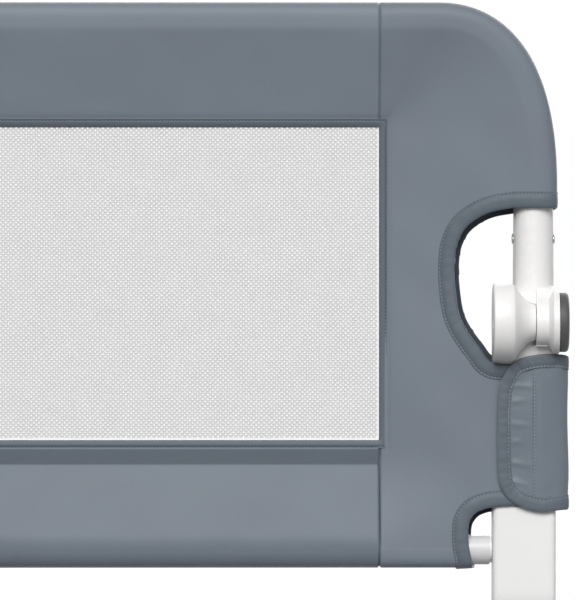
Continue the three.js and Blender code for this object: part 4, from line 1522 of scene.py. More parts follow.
@dataclass
class MiddleStrip:
    """A strip of cloth along the rail between the end panels: a section carried along X."""

    form: CoverForm
    cloth: float = 0.8
    step: float = 5.0
    seam_end: float = 11.0
    tube_steps: int = 36
    top_still: tuple[float, float] = (8.0, 24.0)
    tube_still: float = 12.0
    low_still: tuple[float, float] = (4.0, 16.0)
    bar_still: float = 16.0
    low_waves: float = 0.8

    def along(self) -> Array:
        """Places along the rail, closer together at the two seams.

        Returns:
            X of each place.
        """
        reach = self.form.window_x
        inner = reach - self.seam_end
        middle = np.linspace(-inner, inner, int(2 * reach / self.step))
        return np.concatenate([FROM_SEAM - reach, middle, (reach - FROM_SEAM)[::-1]])

    def carried(self, section: Array, wave: Array) -> Surface:
        """The section along the rail, dipping at the seams.

        Args:
            section: (half thickness, height, outward Y, outward Z) rows from one hem to the other.
            wave: share of the cloth's waves that each row of the section takes.

        Returns:
            The open sheet.
        """
        x = self.along()[:, None]
        lift = self.form.relief(x, section[:, 1]) * wave - self.form.seam(x)
        y = section[:, 0] + lift * section[:, 2]
        z = section[:, 1] + lift * section[:, 3]
        length = run_length(section[:, :2])
        grid = np.stack([x + 0 * y, y, z], axis=-1)
        uv = np.stack([x + 0 * y, length + 0 * x], axis=-1) * MM
        return grid_surface(grid, uv)

    @staticmethod
    def with_normals(section: Array) -> Array:
        """A section's places with the direction at each that leads away from the middle plane.

        Args:
            section: places in Y and Z, (n, 2).

        Returns:
            Places and directions, (n, 4).
        """
        sideways = rightwards(tangents(section))
        sign = np.sign((sideways[:, 0] * section[:, 0]).sum())
        return np.column_stack([section, sign * sideways])

    def top_section(self) -> tuple[Array, Array]:
        """From the front hem up to the tube, round it and down to the back hem.

        Returns:
            Places in Y and Z, and the share of the cloth's waves at each.
        """
        form = self.form
        reach = form.path_top - form.window_top
        angle, flat = form.tangent(np.array(reach))
        near = [0, 0.6, 1.4, 2.4, 3.6, 4.6, 5.2, 5.8, 6.4, 7.2]
        run = np.concatenate([near, np.arange(9, flat, 2.5)])
        half = mix(form.hem_half, form.edge_radius * np.cos(angle), run / flat)
        half = half - form.hem_groove(0 * run, form.window_top + run)
        front = np.stack([-half, form.window_top + run], axis=1)
        turn = np.linspace(-angle, math.pi + angle, self.tube_steps)
        out = form.around(turn, form.edge_radius)[:, None]
        round_tube = np.stack([-np.cos(turn), np.sin(turn)], axis=1) * out + [0, form.path_top]
        section = np.vstack([front, round_tube, front[::-1] * [-1, 1]])
        above = section[:, 1] - form.window_top
        wave = smoothstep(above, *self.top_still)
        wave = wave * (1 - smoothstep(above, reach - self.tube_still, reach))
        return section, wave

    def bottom_section(self) -> tuple[Array, Array]:
        """From the front hem in to the crease, out to the ridge over the bar, and round below it.

        Returns:
            Places in Y and Z, and the share of the cloth's waves at each.
        """
        form = self.form
        hem_end = form.window_bottom - form.hem_width
        folds = np.array([
            [form.hem_half, form.window_bottom], [1.9, hem_end + 0.7], [5.9, hem_end + 0.1],
            [0.7, form.crease_z - 2.3], [13.9, form.bar_z + 6.2], [12.2, form.bar_z - 5.5],
            [7.5, form.ground + 1.2], [0, form.ground],
        ])
        upper = rounded(folds[:4], 0.9, 6, closed=False)
        lower = rounded(folds[3:], 7, 12, closed=False)
        front = np.vstack([evenly(upper, 0.6), evenly(lower, 1.3)[1:]])
        section = np.vstack([front * [-1, 1], front[-2::-1]])
        z = section[:, 1]
        wave = self.low_waves * smoothstep(form.crease_z - z, *self.low_still)
        return section, wave * smoothstep(z, form.bar_z, form.bar_z + self.bar_still)

    def build(self, which: str, shape: tuple[Array, Array], paint: Paint) -> bpy.types.Object:
        """Makes the strip's sheet and its thickness.

        Args:
            which: top or bottom.
            shape: its section from hem to hem, and the share of the waves at each place.
            paint: the materials.

        Returns:
            The piece.
        """
        section, wave = shape
        surface = self.carried(self.with_normals(section), wave[None])
        obj = make_object(f"{which}_strip", surface, sharp=CLOTH_SHARP, facing=Facing.APART)
        # The top strip's cloth is a lighter copy and the bottom strip's a darker copy: painted light and
        # painted shade.
        line(obj, self.cloth, paint[which], paint["inner_shade"])
        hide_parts(f"cover_{which}")
        return bend_with_hinge(obj)


# Bindings, hems and stitches

@dataclass(frozen=True)
class Ribbon:
    """A path on the cloth with the outward direction and the way into the cloth at each place."""

    path: Array
    normal: Array
    inward: Array

    @staticmethod
    def on(path: Array, normal: Array, away_from: Array, spacing: float) -> "Ribbon":
        """A ribbon with evenly spaced places.

        Args:
            path: places, (n, 3).
            normal: outward direction at each place.
            away_from: a point in the opening, which inward points away from.
            spacing: distance between places.

        Returns:
            The ribbon.
        """
        lengths = run_length(path)
        keep = np.concatenate([[True], np.diff(lengths) > 1e-6])
        lengths, path, normal = lengths[keep], path[keep], normal[keep]
        places = np.linspace(0, lengths[-1], max(int(lengths[-1] / spacing), 3) + 1)
        even = read_off(path, lengths, places)
        outward = unit(read_off(normal, lengths, places))
        across = unit(np.cross(tangents(even), outward))
        sign = np.sign((across * (even - away_from) * [1, 0, 1]).sum())
        return Ribbon(even, outward, across * sign)

    def carry(self, ring: Array) -> Surface:
        """A closed profile carried along the ribbon.

        Args:
            ring: (inward, outward) places, the same or its own at each place of the ribbon.

        Returns:
            The closed body.
        """
        across = self.path[:, None] + self.inward[:, None] * ring[..., :1]
        return tube_surface(across + self.normal[:, None] * ring[..., 1:])

    def shifted(self, inward: float, outward: float) -> "Ribbon":
        """The ribbon moved into the cloth and out of it."""
        path = self.path + self.inward * inward + self.normal * outward
        return Ribbon(path, self.normal, self.inward)


@dataclass(frozen=True)
class StitchRow:
    """A row of lockstitches: one small pod a stitch, ten points and sixteen triangles each.

    The pod is widest up to one part in taper of its length from its middle.
    """

    pitch: float = 2.7
    length: float = 1.9
    width: float = 0.75
    height: float = 0.34
    taper: float = 3.4

    def sew(self, ribbon: Ribbon) -> Surface:
        """Pods along the ribbon: two rings of four points between two tips, in the ribbon's frame.

        Args:
            ribbon: where the row runs.

        Returns:
            The closed pods.
        """
        lengths = run_length(ribbon.path)
        places = np.arange(self.pitch / 2, lengths[-1], self.pitch)
        rows = (ribbon.path, ribbon.normal, tangents(ribbon.path))
        centre, normal, ahead = (read_off(row, lengths, places) for row in rows)
        normal, ahead = unit(normal), unit(ahead)
        across = np.cross(normal, ahead)
        corner = np.array([[1, 0], [0, 1], [-1, 0], [0, -1]]) * [self.width / 2, self.height]
        waist = self.length / self.taper
        shape = np.vstack([
            [[-self.length / 2, 0, 0]],
            np.column_stack([np.full(4, -waist), corner]),
            np.column_stack([np.full(4, waist), corner]),
            [[self.length / 2, 0, 0]],
        ])
        axes = np.stack([ahead, across, normal], axis=1)
        points = centre[:, None] + shape @ axes
        around, beside = np.arange(4), (np.arange(4) + 1) % 4
        tips = np.vstack([
            np.stack([0 * around, 1 + beside, 1 + around], axis=1),
            np.stack([9 + 0 * around, 5 + around, 5 + beside], axis=1),
        ])
        walls = np.stack([1 + around, 1 + beside, 5 + beside, 5 + around], axis=1)
        starts = (np.arange(len(places)) * len(shape))[:, None, None]
        faces = [(tips[None] + starts).reshape(-1, 3), (walls[None] + starts).reshape(-1, 4)]
        return Surface(points.reshape(-1, 3), faces).outwards()


def planar(obj: bpy.types.Object) -> bpy.types.Object:
    """Cloth coordinates for a tape: each face takes the two axes that it faces least.

    Args:
        obj: the tape.

    Returns:
        The same object.
    """
    mesh = obj.data
    facing = np.abs(read(mesh.polygons, "normal", 3)).argmax(axis=1)
    facing = np.repeat(facing, read(mesh.polygons, "loop_total", 1, int)[:, 0])
    axes = np.array([[1, 2], [0, 2], [0, 1]])[facing]
    points = read(mesh.vertices, "co", 3)[read(mesh.loops, "vertex_index", 1, int)[:, 0]]
    set_cloth(mesh, np.take_along_axis(points, axes, axis=1))
    return obj


def taped(name: str, surface: Surface, paint: Paint, sharp: float = 50) -> bpy.types.Object:
    """A piece of binding tape from its surface."""
    return dress(planar(make_object(name, surface, sharp=sharp)), paint["binding"])


def sewn(name: str, surface: Surface, thread: bpy.types.Material) -> bpy.types.Object:
    """A piece of stitching from its surface."""
    return dress(make_object(name, surface, smooth=False), thread)


@dataclass
class CutOutBinding:
    """The folded tape round a cut-out, from the front layer round the edge to the back layer.

    The tape stays within post_room of the cloth beside the post, and its outer relief is drawn
    down to the share turn_relief where it runs round a tube.
    """

    form: CoverForm
    opening: CutOut
    step: float = 1.6
    front_width: float = 12.0
    inner_width: float = 8.0
    stitch_inset: float = 10.5
    stitch_out: float = 0.4
    tube_steps: int = 40
    bar_steps: int = 34
    post_room: float = 1.08
    post_blend: tuple[float, float] = (22.0, 4.0)
    flat_facing: float = 0.6
    turn_relief: float = 0.4

    def layer_path(self, layer: Layer) -> tuple[Array, Array]:
        """The cut edge on one flat layer.

        Args:
            layer: front or back.

        Returns:
            Its places, and the outward direction at each.
        """
        form = self.form
        edge = self.opening.edge(form, layer, form.tab_end)
        if self.opening is GRIP:
            _, flat = form.tangent(np.array(form.side_x - form.window_x))
            edge[-1, 0] = form.window_x + flat
        else:
            edge = edge[edge[:, 1] >= form.bar_z]
        x, z = edge.T
        slope = 0.5
        half = form.half(x, z)
        rise_x = (form.half(x + slope, z) - form.half(x - slope, z)) / (2 * slope)
        rise_z = (form.half(x, z + slope) - form.half(x, z - slope)) / (2 * slope)
        normal = unit(np.stack([-rise_x, np.full(len(x), float(layer.value)), -rise_z], axis=1))
        return np.stack([x, layer.value * half, z], axis=1), normal

    def turn_path(self) -> tuple[Array, Array]:
        """The cut edge round the side tube, or round the bar's sleeve.

        Returns:
            Its places, and the outward direction at each.
        """
        form = self.form
        if self.opening is GRIP:
            angle, _ = form.tangent(np.array(form.side_x - form.window_x))
            turn = np.linspace(-angle, math.pi + angle, self.tube_steps)[1:-1]
            behind = smoothstep(turn, math.pi / 2, math.pi + float(angle))
            z = self.opening.top - self.opening.inset * behind
            normal = np.stack([np.sin(turn), -np.cos(turn), 0 * turn], axis=1)
            middle = np.column_stack([np.full((len(turn), 2), [form.side_x, 0]), z])
            return normal * form.around(turn, form.edge_radius)[:, None] + middle, normal
        turn = np.linspace(0, math.pi, self.bar_steps)[1:-1]
        x, _ = notch_round(form, turn)
        normal = np.stack([0 * turn, -np.cos(turn), -np.sin(turn)], axis=1)
        radius = form.around(turn, form.sleeve_radius)[:, None]
        return normal * radius + np.stack([x, 0 * turn, 0 * turn + form.bar_z], axis=1), normal

    def ribbon(self) -> Ribbon:
        """The whole cut edge: front layer, turn and back layer.

        Returns:
            The ribbon that the tape follows.
        """
        front, back = (self.layer_path(layer) for layer in Layer)
        if self.opening is GRIP:
            back = [rows[::-1] for rows in back]
        else:
            front = [rows[::-1] for rows in front]
        path, normal = (np.vstack(rows) for rows in zip(front, self.turn_path(), back))
        centre = np.array([self.opening.centre[0], 0, self.opening.centre[1]])
        return Ribbon.on(path, normal, centre, self.step)

    def ring(self, ribbon: Ribbon) -> Array:
        """The folded tape's profile at each place, flatter inside where it lies on the post.

        Args:
            ribbon: the ribbon that the tape follows.

        Returns:
            (inward, outward) places, (places, points, 2).
        """
        w, n = self.front_width, self.inner_width
        outer = np.array([
            [w, 0.12], [w - 0.3, 0.6], [w - 0.8, 0.72], [w - 1.5, 0.28], [w - 2.3, 0.92],
            [w * 0.5, 1.2], [3, 1.15], [0.9, 0.85], [0.0, 0.3], [-0.25, -0.4], [0.0, -1.15],
        ])
        inner = np.array([
            [0.6, -1.5], [3, -1.7], [n - 1, -1.65], [n, -1.35], [n - 0.2, -1.0], [1, -0.92],
            [0.3, -0.5], [0.4, 0], [1, 0.1], [w - 0.5, 0.05],
        ])
        far, close = self.post_blend
        post = self.form.post_x
        near_post = smoothstep(np.abs(ribbon.path[:, :1]), post - far, post - close)
        flat = np.abs(ribbon.normal[:, 1:2])
        back = np.tile(inner, (len(ribbon.path), 1, 1))
        thin = np.maximum(inner[:, 1], -self.post_room)
        back[..., 1] = mix(inner[None, :, 1], thin[None], near_post * (flat > self.flat_facing))
        front = np.tile(outer, (len(ribbon.path), 1, 1))
        along = run_length(ribbon.path)
        pucker = 0.1 * np.sin(along / 1.3 + 2 * np.sin(along / 7))
        pucker = pucker + 0.08 * np.sin(along / 3.7 + np.sin(along / 11))
        front[:, 4:7, 1] += pucker[:, None]
        relief = mix(self.turn_relief, 1.0, smoothstep(flat, 0.3, 0.95))
        front[..., 1] = np.where(front[..., 1] > 0, front[..., 1] * relief, front[..., 1])
        return np.concatenate([front, back], axis=1)

    def build(self, side: Side, paint: Paint) -> list[bpy.types.Object]:
        """Makes the tape and its stitches.

        Args:
            side: the end of the rail.
            paint: the materials.

        Returns:
            The tape and the stitches.
        """
        ribbon, name = self.ribbon(), self.opening.name
        tape = ribbon.carry(self.ring(ribbon)).at(side)
        tape = taped(f"{name}_binding_{side.tag}", tape, paint)
        # The tape's inner faces take the dark cloth: painted shade in the opening.
        back_with(tape, paint["inner_shade"])
        row = StitchRow().sew(ribbon.shifted(self.stitch_inset, self.stitch_out)).at(side)
        stitches = sewn(f"{name}_stitches_{side.tag}", row, paint["stitch"])
        if self.opening is GRIP:
            return [bend_with_hinge(tape), bend_with_hinge(stitches)]
        return [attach(tape, "base"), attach(stitches, "base")]


def back_with(obj: bpy.types.Object, material: bpy.types.Material, share: float = 0.6) -> None:
    """Gives the faces that look towards the cover's middle plane a second material, as painted shade.

    Args:
        obj: the tape.
        material: the dark material of its back, which is painted shade.
        share: how much of a face's direction has to lead to the middle plane.
    """
    obj.data.materials.append(material)
    polygons = obj.data.polygons
    away = np.sign(read(polygons, "center", 3)[:, 1] - MIDDLE_Y * MM)
    looks = read(polygons, "normal", 3)[:, 1] * away
    polygons.foreach_set("material_index", (looks < -share).astype(np.int32))


@dataclass
class Window:
    """The window: its hem on both faces, the white selvedge, the net and the stitches.

    The slopes are those of the cloth outside the window, beside, above and below it. The selvedge
    shows at its full width, except along the top, where it shows the share top_selvedge.
    """

    form: CoverForm
    pitch_x: float = 3.8
    pitch_z: float = 3.5
    yarn: float = 2.2
    yarn_depth: float = 0.42
    under_hem: float = 2.6
    side_slope: float = 0.141
    top_slope: float = 0.222
    low_slope: float = 0.08
    selvedge: float = 1.7
    selvedge_half: float = 0.35
    selvedge_out: float = 0.25
    top_selvedge: float = 0.35
    stitch_in: float = 1.2
    stitch_out: float = 0.2

    def rectangle(self, grow: float, step: float = 3.0) -> tuple[Array, Array]:
        """The window's outline, grown, as a closed loop.

        Args:
            grow: distance outside the window's edge.
            step: distance between places.

        Returns:
            Places in X and Z, and at each the mitre direction that grows the outline by 1.
        """
        form = self.form
        left, right = -form.window_x - grow, form.window_x + grow
        low, high = form.window_bottom - grow, form.window_top + grow
        across, up = int((right - left) / step / 2) * 2, int((high - low) / step / 2) * 2
        x, z = np.linspace(left, right, across + 1), np.linspace(low, high, up + 1)
        place = np.vstack([
            np.stack([x[:-1], np.full(across, low)], axis=1),
            np.stack([np.full(up, right), z[:-1]], axis=1),
            np.stack([x[:0:-1], np.full(across, high)], axis=1),
            np.stack([np.full(up, left), z[:0:-1]], axis=1),
        ])
        mitre = np.stack([
            (place[:, 0] >= right) * 1.0 - (place[:, 0] <= left),
            (place[:, 1] >= high) * 1.0 - (place[:, 1] <= low),
        ], axis=1)
        return place, mitre

    def cloth_half(self, x: Array, z: Array) -> Array:
        """Half the cover's thickness just outside the window, by the side that is nearest.

        Args:
            x: distance from the rail's middle.
            z: height.

        Returns:
            The half thickness at each place.
        """
        form = self.form
        beside = np.maximum(np.abs(x) - form.window_x, 0) * self.side_slope
        above = np.maximum(z - form.window_top, 0) * self.top_slope
        below = np.maximum(form.window_bottom - z, 0) * self.low_slope
        return form.hem_half + np.maximum(np.maximum(beside, above), below)

    def hem(self, layer: Layer) -> Surface:
        """The folded hem: a flat tube with a rounded lip at the window.

        Args:
            layer: front or back.

        Returns:
            The closed loop.
        """
        place, mitre = self.rectangle(0)
        w = self.form.hem_width
        ring = np.array([
            [w, -0.1], [w - 0.2, 0.42], [w - 0.6, 0.5], [w - 1.2, 0.08], [w - 1.9, 0.55],
            [w * 0.5, 0.62], [0.9, 0.5], [0.1, 0.25], [-0.25, -0.3], [0.0, -0.9], [0.5, -1.2],
            [w * 0.5, -0.3],
        ])
        at = place[:, None] + mitre[:, None] * ring[None, :, :1]
        x, z = at[..., 0], at[..., 1]
        y = layer.value * (self.cloth_half(x, z) + ring[None, :, 1])
        return tube_surface(np.stack([x, y, z], axis=-1), loop=True)

    def stitch_loop(self, layer: Layer) -> Ribbon:
        """The loop on which the hem's stitches lie.

        Args:
            layer: front or back.

        Returns:
            The ribbon.
        """
        place, _ = self.rectangle(self.form.hem_width - self.stitch_in)
        place = np.vstack([place, place[:1]])
        x, z = place.T
        y = layer.value * (self.cloth_half(x, z) + self.stitch_out)
        normal = np.tile([0.0, float(layer.value), 0.0], (len(place), 1))
        path = np.stack([x, y, z], axis=1)
        return Ribbon(path, normal, unit(np.cross(tangents(path), normal)))

    def white_edge(self) -> Surface:
        """The net's white selvedge: a thin flat loop just inside the hems.

        Returns:
            The closed loop.
        """
        place, mitre = self.rectangle(self.selvedge_out)
        at_top = np.abs(place[:, 1] - self.form.window_top) < 1
        thin = np.where(at_top, self.top_selvedge, 1.0)[:, None]
        w, t = self.selvedge, self.selvedge_half
        ring = np.array([[0, -t], [0, t], [-w, t], [-w - 0.12, 0], [-w, -t]])
        at = place[:, None] + mitre[:, None] * ring[None, :, :1] * thin[:, None]
        y = np.broadcast_to(ring[None, :, 1], at.shape[:2])
        return tube_surface(np.stack([at[..., 0], y, at[..., 1]], axis=-1), loop=True)

    def net(self) -> Surface:
        """Warp-knit net: a lattice of slanted yarns, one diamond of four points at each crossing.

        Crossing (i, j) stands at x = i * pitch / 2, z = j * rise / 2 where i + j is even. Each has
        a square of points, joined to the next crossings up to the right and up to the left.

        Returns:
            The open net.
        """
        form = self.form
        half_x, half_z = self.pitch_x / 2, self.pitch_z / 2
        reach_x = form.window_x + self.under_hem
        low, high = form.window_bottom - self.under_hem, form.window_top + self.under_hem
        columns, rows = int(2 * reach_x / half_x), int((high - low) / half_z)
        i, j = np.meshgrid(np.arange(columns + 1), np.arange(rows + 1), indexing="ij")
        even = (i + j) % 2 == 0
        number = np.full(i.shape, -1)
        number[even] = np.arange(even.sum())
        x = -reach_x + i[even] * half_x
        z = low + j[even] * half_z
        w = self.yarn / 2
        corners = np.array([[w, 0], [0, w], [-w, 0], [0, -w]])
        lift = np.broadcast_to(np.array([1, -1, 1, -1]) * self.yarn_depth / 4, (len(x), 4))
        points = np.stack([x[:, None] + corners[:, 0], lift, z[:, None] + corners[:, 1]], axis=-1)
        faces = [np.arange(len(x) * 4).reshape(-1, 4)]
        for lower, upper, (a, b, c, d) in (
            (number[:-1, :-1], number[1:, 1:], (0, 3, 2, 1)),
            (number[1:, :-1], number[:-1, 1:], (1, 0, 3, 2)),
        ):
            both = (lower >= 0) & (upper >= 0)
            near, far = lower[both] * 4, upper[both] * 4
            faces.append(np.stack([near + a, far + b, far + c, near + d], axis=1))
        return Surface(points.reshape(-1, 3), faces)

    def build(self, paint: Paint) -> dict[str, bpy.types.Object]:
        """Makes the hems, the selvedge, the net and the stitches.

        Args:
            paint: the materials.

        Returns:
            The pieces by name.
        """
        made = []
        for layer in Layer:
            made.append(taped(f"window_hem_{layer.tag}", self.hem(layer), paint, CLOTH_SHARP))
            row = StitchRow(width=1.2, height=0.3).sew(self.stitch_loop(layer))
            # The hem stitches take the dark thread: painted shade of the groove beside them.
            made.append(sewn(f"hem_stitches_{layer.tag}", row, paint["seam"]))
        edge = make_object("net_selvedge", self.white_edge(), sharp=50)
        net = make_object("window_net", self.net(), smooth=False, facing=Facing.FRONT)
        # The net takes the grey yarn: painted shade on white yarn.
        made += [dress(edge, paint["selvedge"]), dress(net, paint["net"])]
        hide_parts("window_upper", "window_lower")
        return {piece.name: bend_with_hinge(piece) for piece in made}


@dataclass
class PostFlap:
    """The flap that wraps the post: a sheet carried round a route in plan, its tape and seams.

    Each gather is a crease from the tape: its height, its slope and how far it runs past the seam's
    foot. The upper and lower edges are places as shares of the flap's width and height.
    """

    outer_x: float = 518.0
    width: float = 53.0
    top: float = 228.38
    height: float = 116.5
    front_y: float = -15.15
    back_y: float = 12.75
    back_end: float = 505.7
    bend: float = 8.8
    roll: float = 24.8
    tape: float = 10.0
    seam_x: float = 492.7
    seam_in: float = 0.65
    cloth: float = 0.8
    rows: int = 110
    edge_inset: float = 0.4
    tape_step: float = 1.5
    gather_x: float = 478.0
    gather_start: tuple[float, float] = (9.0, 13.0)
    gather_height: float = 0.55
    gather_width: float = 1.8
    puff_range: tuple[float, float] = (-0.45, 0.55)
    gathers: tuple[tuple[float, float, float], ...] = (
        (206, -0.05, 24), (192, 0.12, 12), (178, -0.1, 16), (163, 0.06, 10), (150, -0.16, 18),
        (138, -0.3, 14),
    )
    upper: tuple[tuple[float, float], ...] = (
        (1, 0.46), (1, 0.395), (0.979, 0.229), (0.902, 0.134), (0.79, 0.057), (0.622, 0.019),
        (0.385, 0), (0.189, 0), (0.08, 0.003), (0.035, 0.008), (0, 0.014),
    )
    lower: tuple[tuple[float, float], ...] = (
        (1, 0.54), (1, 0.611), (0.979, 0.79), (0.888, 0.892), (0.72, 0.955), (0.524, 0.987),
        (0.329, 1), (0.133, 0.99), (0.021, 0.986), (0, 0.98),
    )

    def route(self) -> tuple[Array, Array]:
        """The flap's middle line in plan, from its free edge round the post to the back.

        Returns:
            Places (n, 2) in X and Y, and the outward direction at each.
        """
        start = self.outer_x - self.width
        share = 1 - np.cos(np.linspace(0, math.pi / 2, 42))
        front = start + (self.outer_x - self.roll - start) * share
        beside_seam = self.seam_x - np.array([5.0, 3.4, 2.2, 1.4, 0.8, 0.3])
        front = np.unique(np.concatenate([front[:-3], beside_seam]))
        turn = np.linspace(0, math.pi / 2, 16)
        first = np.stack([np.sin(turn), -np.cos(turn)], axis=1) * [self.roll, self.bend]
        first = first + [self.outer_x - self.roll, self.front_y + self.bend]
        second = np.stack([np.cos(turn), np.sin(turn)], axis=1) * self.bend
        second = second + [self.outer_x - self.bend, self.back_y - self.bend]
        tail = np.linspace(self.outer_x - self.bend, self.back_end, 4)[1:]
        route = np.vstack([
            np.stack([front, np.full(len(front), self.front_y)], axis=1),
            first[1:],
            np.linspace(first[-1], second[0], 7)[1:-1],
            second,
            np.stack([tail, np.full(len(tail), self.back_y)], axis=1),
        ])
        return route, rightwards(tangents(route))

    def edge_at(self, x: Array, shares: tuple[tuple[float, float], ...]) -> Array:
        """Height of the flap's upper or lower edge at each X.

        Args:
            x: places along the rail.
            shares: the edge's places, as shares of the flap's width and height.

        Returns:
            The heights.
        """
        curve = [self.outer_x, self.top] - np.array(shares) * [self.width, self.height]
        curve = spline(curve, EDGE_STEPS)
        curve = curve[np.argsort(curve[:, 0], kind="stable")]
        return np.interp(x, curve[:, 0], curve[:, 1])

    def edges(self) -> tuple[Array, Array]:
        """The lower and upper edge along the route."""
        route, _ = self.route()
        return self.edge_at(route[:, 0], self.lower), self.edge_at(route[:, 0], self.upper)

    def sheet(self) -> Surface:
        """The flap's cloth: its route in plan, raised between its edges and gathered at the tape.

        The puffs are sines across the edges, which die away from them, and each gather is a bell
        across its own line. The seam presses all of them down to one depth.

        Returns:
            The open sheet.
        """
        route, normal = self.route()
        low, high = self.edges()
        share = (1 - np.cos(np.linspace(0, math.pi, self.rows)))[:, None] / 2
        z = mix(low + self.edge_inset, high - self.edge_inset, share)
        along = run_length(route)[None]
        to_edge = np.minimum(z - low, high - z)
        gather = np.sin(along / 2.3 + 0.7) * 0.28 + np.sin(along / 5.9) * 0.3
        puff = gather * smoothstep(to_edge, 2, 9) * (1 - smoothstep(to_edge, 9, 26))
        swell = 0.5 * np.sin(z / 14 + 1) * np.sin(along / 11) * smoothstep(to_edge, 8, 24)
        x_front = route[None, :, 0]
        from_free = x_front - self.outer_x + self.width
        in_front = normal[None, :, 1] < -0.5
        at_seam = np.exp(-((x_front - self.seam_x) ** 2)) * in_front
        folds = 0 * z
        for height, lean, reach in self.gathers:
            bell = np.exp(-(((z - height - lean * from_free) / self.gather_width) ** 2))
            fade = 1 - smoothstep(x_front, self.gather_x, self.gather_x + reach)
            fade = fade * smoothstep(from_free, *self.gather_start) * in_front
            folds = folds + self.gather_height * bell * fade
        free = np.clip(puff + swell, *self.puff_range) + folds
        inner = normal[None, :, 1] > 0.3
        out = np.where(inner, 0, mix(free, -self.seam_in, at_seam))
        x = route[None, :, 0] + normal[None, :, 0] * out
        y = route[None, :, 1] + normal[None, :, 1] * out
        uv = np.stack([along + 0 * z, z], axis=-1) * MM
        return grid_surface(np.stack([x, y, z], axis=-1), uv)

    def ribbon(self) -> Ribbon:
        """The flap's outline: the upper edge from the back, the free edge and the lower edge.

        Returns:
            The ribbon that the tape follows.
        """
        route, normal = self.route()
        low, high = self.edges()
        upper = np.column_stack([route, high])[::-1]
        lower = np.column_stack([route, low])
        free = np.linspace(upper[-1], lower[0], 14)[1:-1]
        path = np.vstack([upper, free, lower])
        facing = np.column_stack([normal, 0 * low])
        facing = np.vstack([facing[::-1], np.tile(facing[0], (12, 1)), facing])
        lengths = run_length(path)
        places = np.linspace(0, lengths[-1], int(lengths[-1] / self.tape_step))
        even = read_off(path, lengths, places)
        facing = unit(read_off(facing, lengths, places))
        return Ribbon(even, facing, unit(np.cross(facing, tangents(even))))

    def tape_ring(self, ribbon: Ribbon) -> Array:
        """The tape's profile at each place, puckered along its inner edge.

        Args:
            ribbon: the ribbon that the tape follows.

        Returns:
            (inward, outward) places, (places, points, 2).
        """
        w = self.tape
        ring = np.array([
            [w, 0.2], [w - 0.3, 0.55], [w - 0.8, 0.62], [w - 1.5, 0.15], [w - 2.4, 0.7],
            [w * 0.45, 0.8], [2, 0.74], [0.5, 0.55], [-0.35, 0.1], [-0.35, -0.25], [0.4, -0.6],
            [2.4, -0.62], [2.6, -0.42], [w - 1, -0.1],
        ])
        rows = np.tile(ring, (len(ribbon.path), 1, 1))
        lengths = run_length(ribbon.path)
        pucker = 0.11 * np.sin(lengths / 1.2 + 2 * np.sin(lengths / 9)) - 0.12
        pucker = pucker + 0.09 * np.sin(lengths / 3.3 + 1)
        rows[:, 4:7, 1] += pucker[:, None]
        return rows

    def stitches(self, ribbon: Ribbon) -> Surface:
        """The row along the tape, and the row down the flap's seam.

        Args:
            ribbon: the ribbon that the tape follows.

        Returns:
            Both rows.
        """
        along = StitchRow().sew(ribbon.shifted(self.tape - 1.5, 0.3))
        count = 60
        x, y = np.full(count, self.seam_x), np.full(count, self.front_y + 0.3)
        levels = np.linspace(self.top - self.height + 9.5, self.top - 10.5, count)
        ahead, beside = np.tile([0.0, -1.0, 0.0], (count, 1)), np.tile([1.0, 0.0, 0.0], (count, 1))
        down = Ribbon(np.column_stack([x, y, levels]), ahead, beside)
        return together([along, StitchRow(width=0.85).sew(down)])

    def build(self, side: Side, paint: Paint) -> bpy.types.Object:
        """Makes the flap, its tape and its stitches.

        Args:
            side: the end of the rail.
            paint: the materials.

        Returns:
            The flap's sheet.
        """
        sheet = self.sheet().at(side)
        sheet = make_object(f"flap_{side.tag}", sheet, sharp=CLOTH_SHARP, facing=Facing.FRONT)
        line(sheet, self.cloth, paint["flap"], paint["inner_shade"])
        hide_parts(f"post_flap_{side.tag}")
        ribbon = self.ribbon()
        tape = ribbon.carry(self.tape_ring(ribbon)).at(side)
        tape = taped(f"flap_tape_{side.tag}", tape, paint)
        rows = self.stitches(ribbon).at(side)
        stitches = sewn(f"flap_stitches_{side.tag}", rows, paint["stitch"])
        for piece in (sheet, tape, stitches):
            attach(piece, "base")
        return sheet


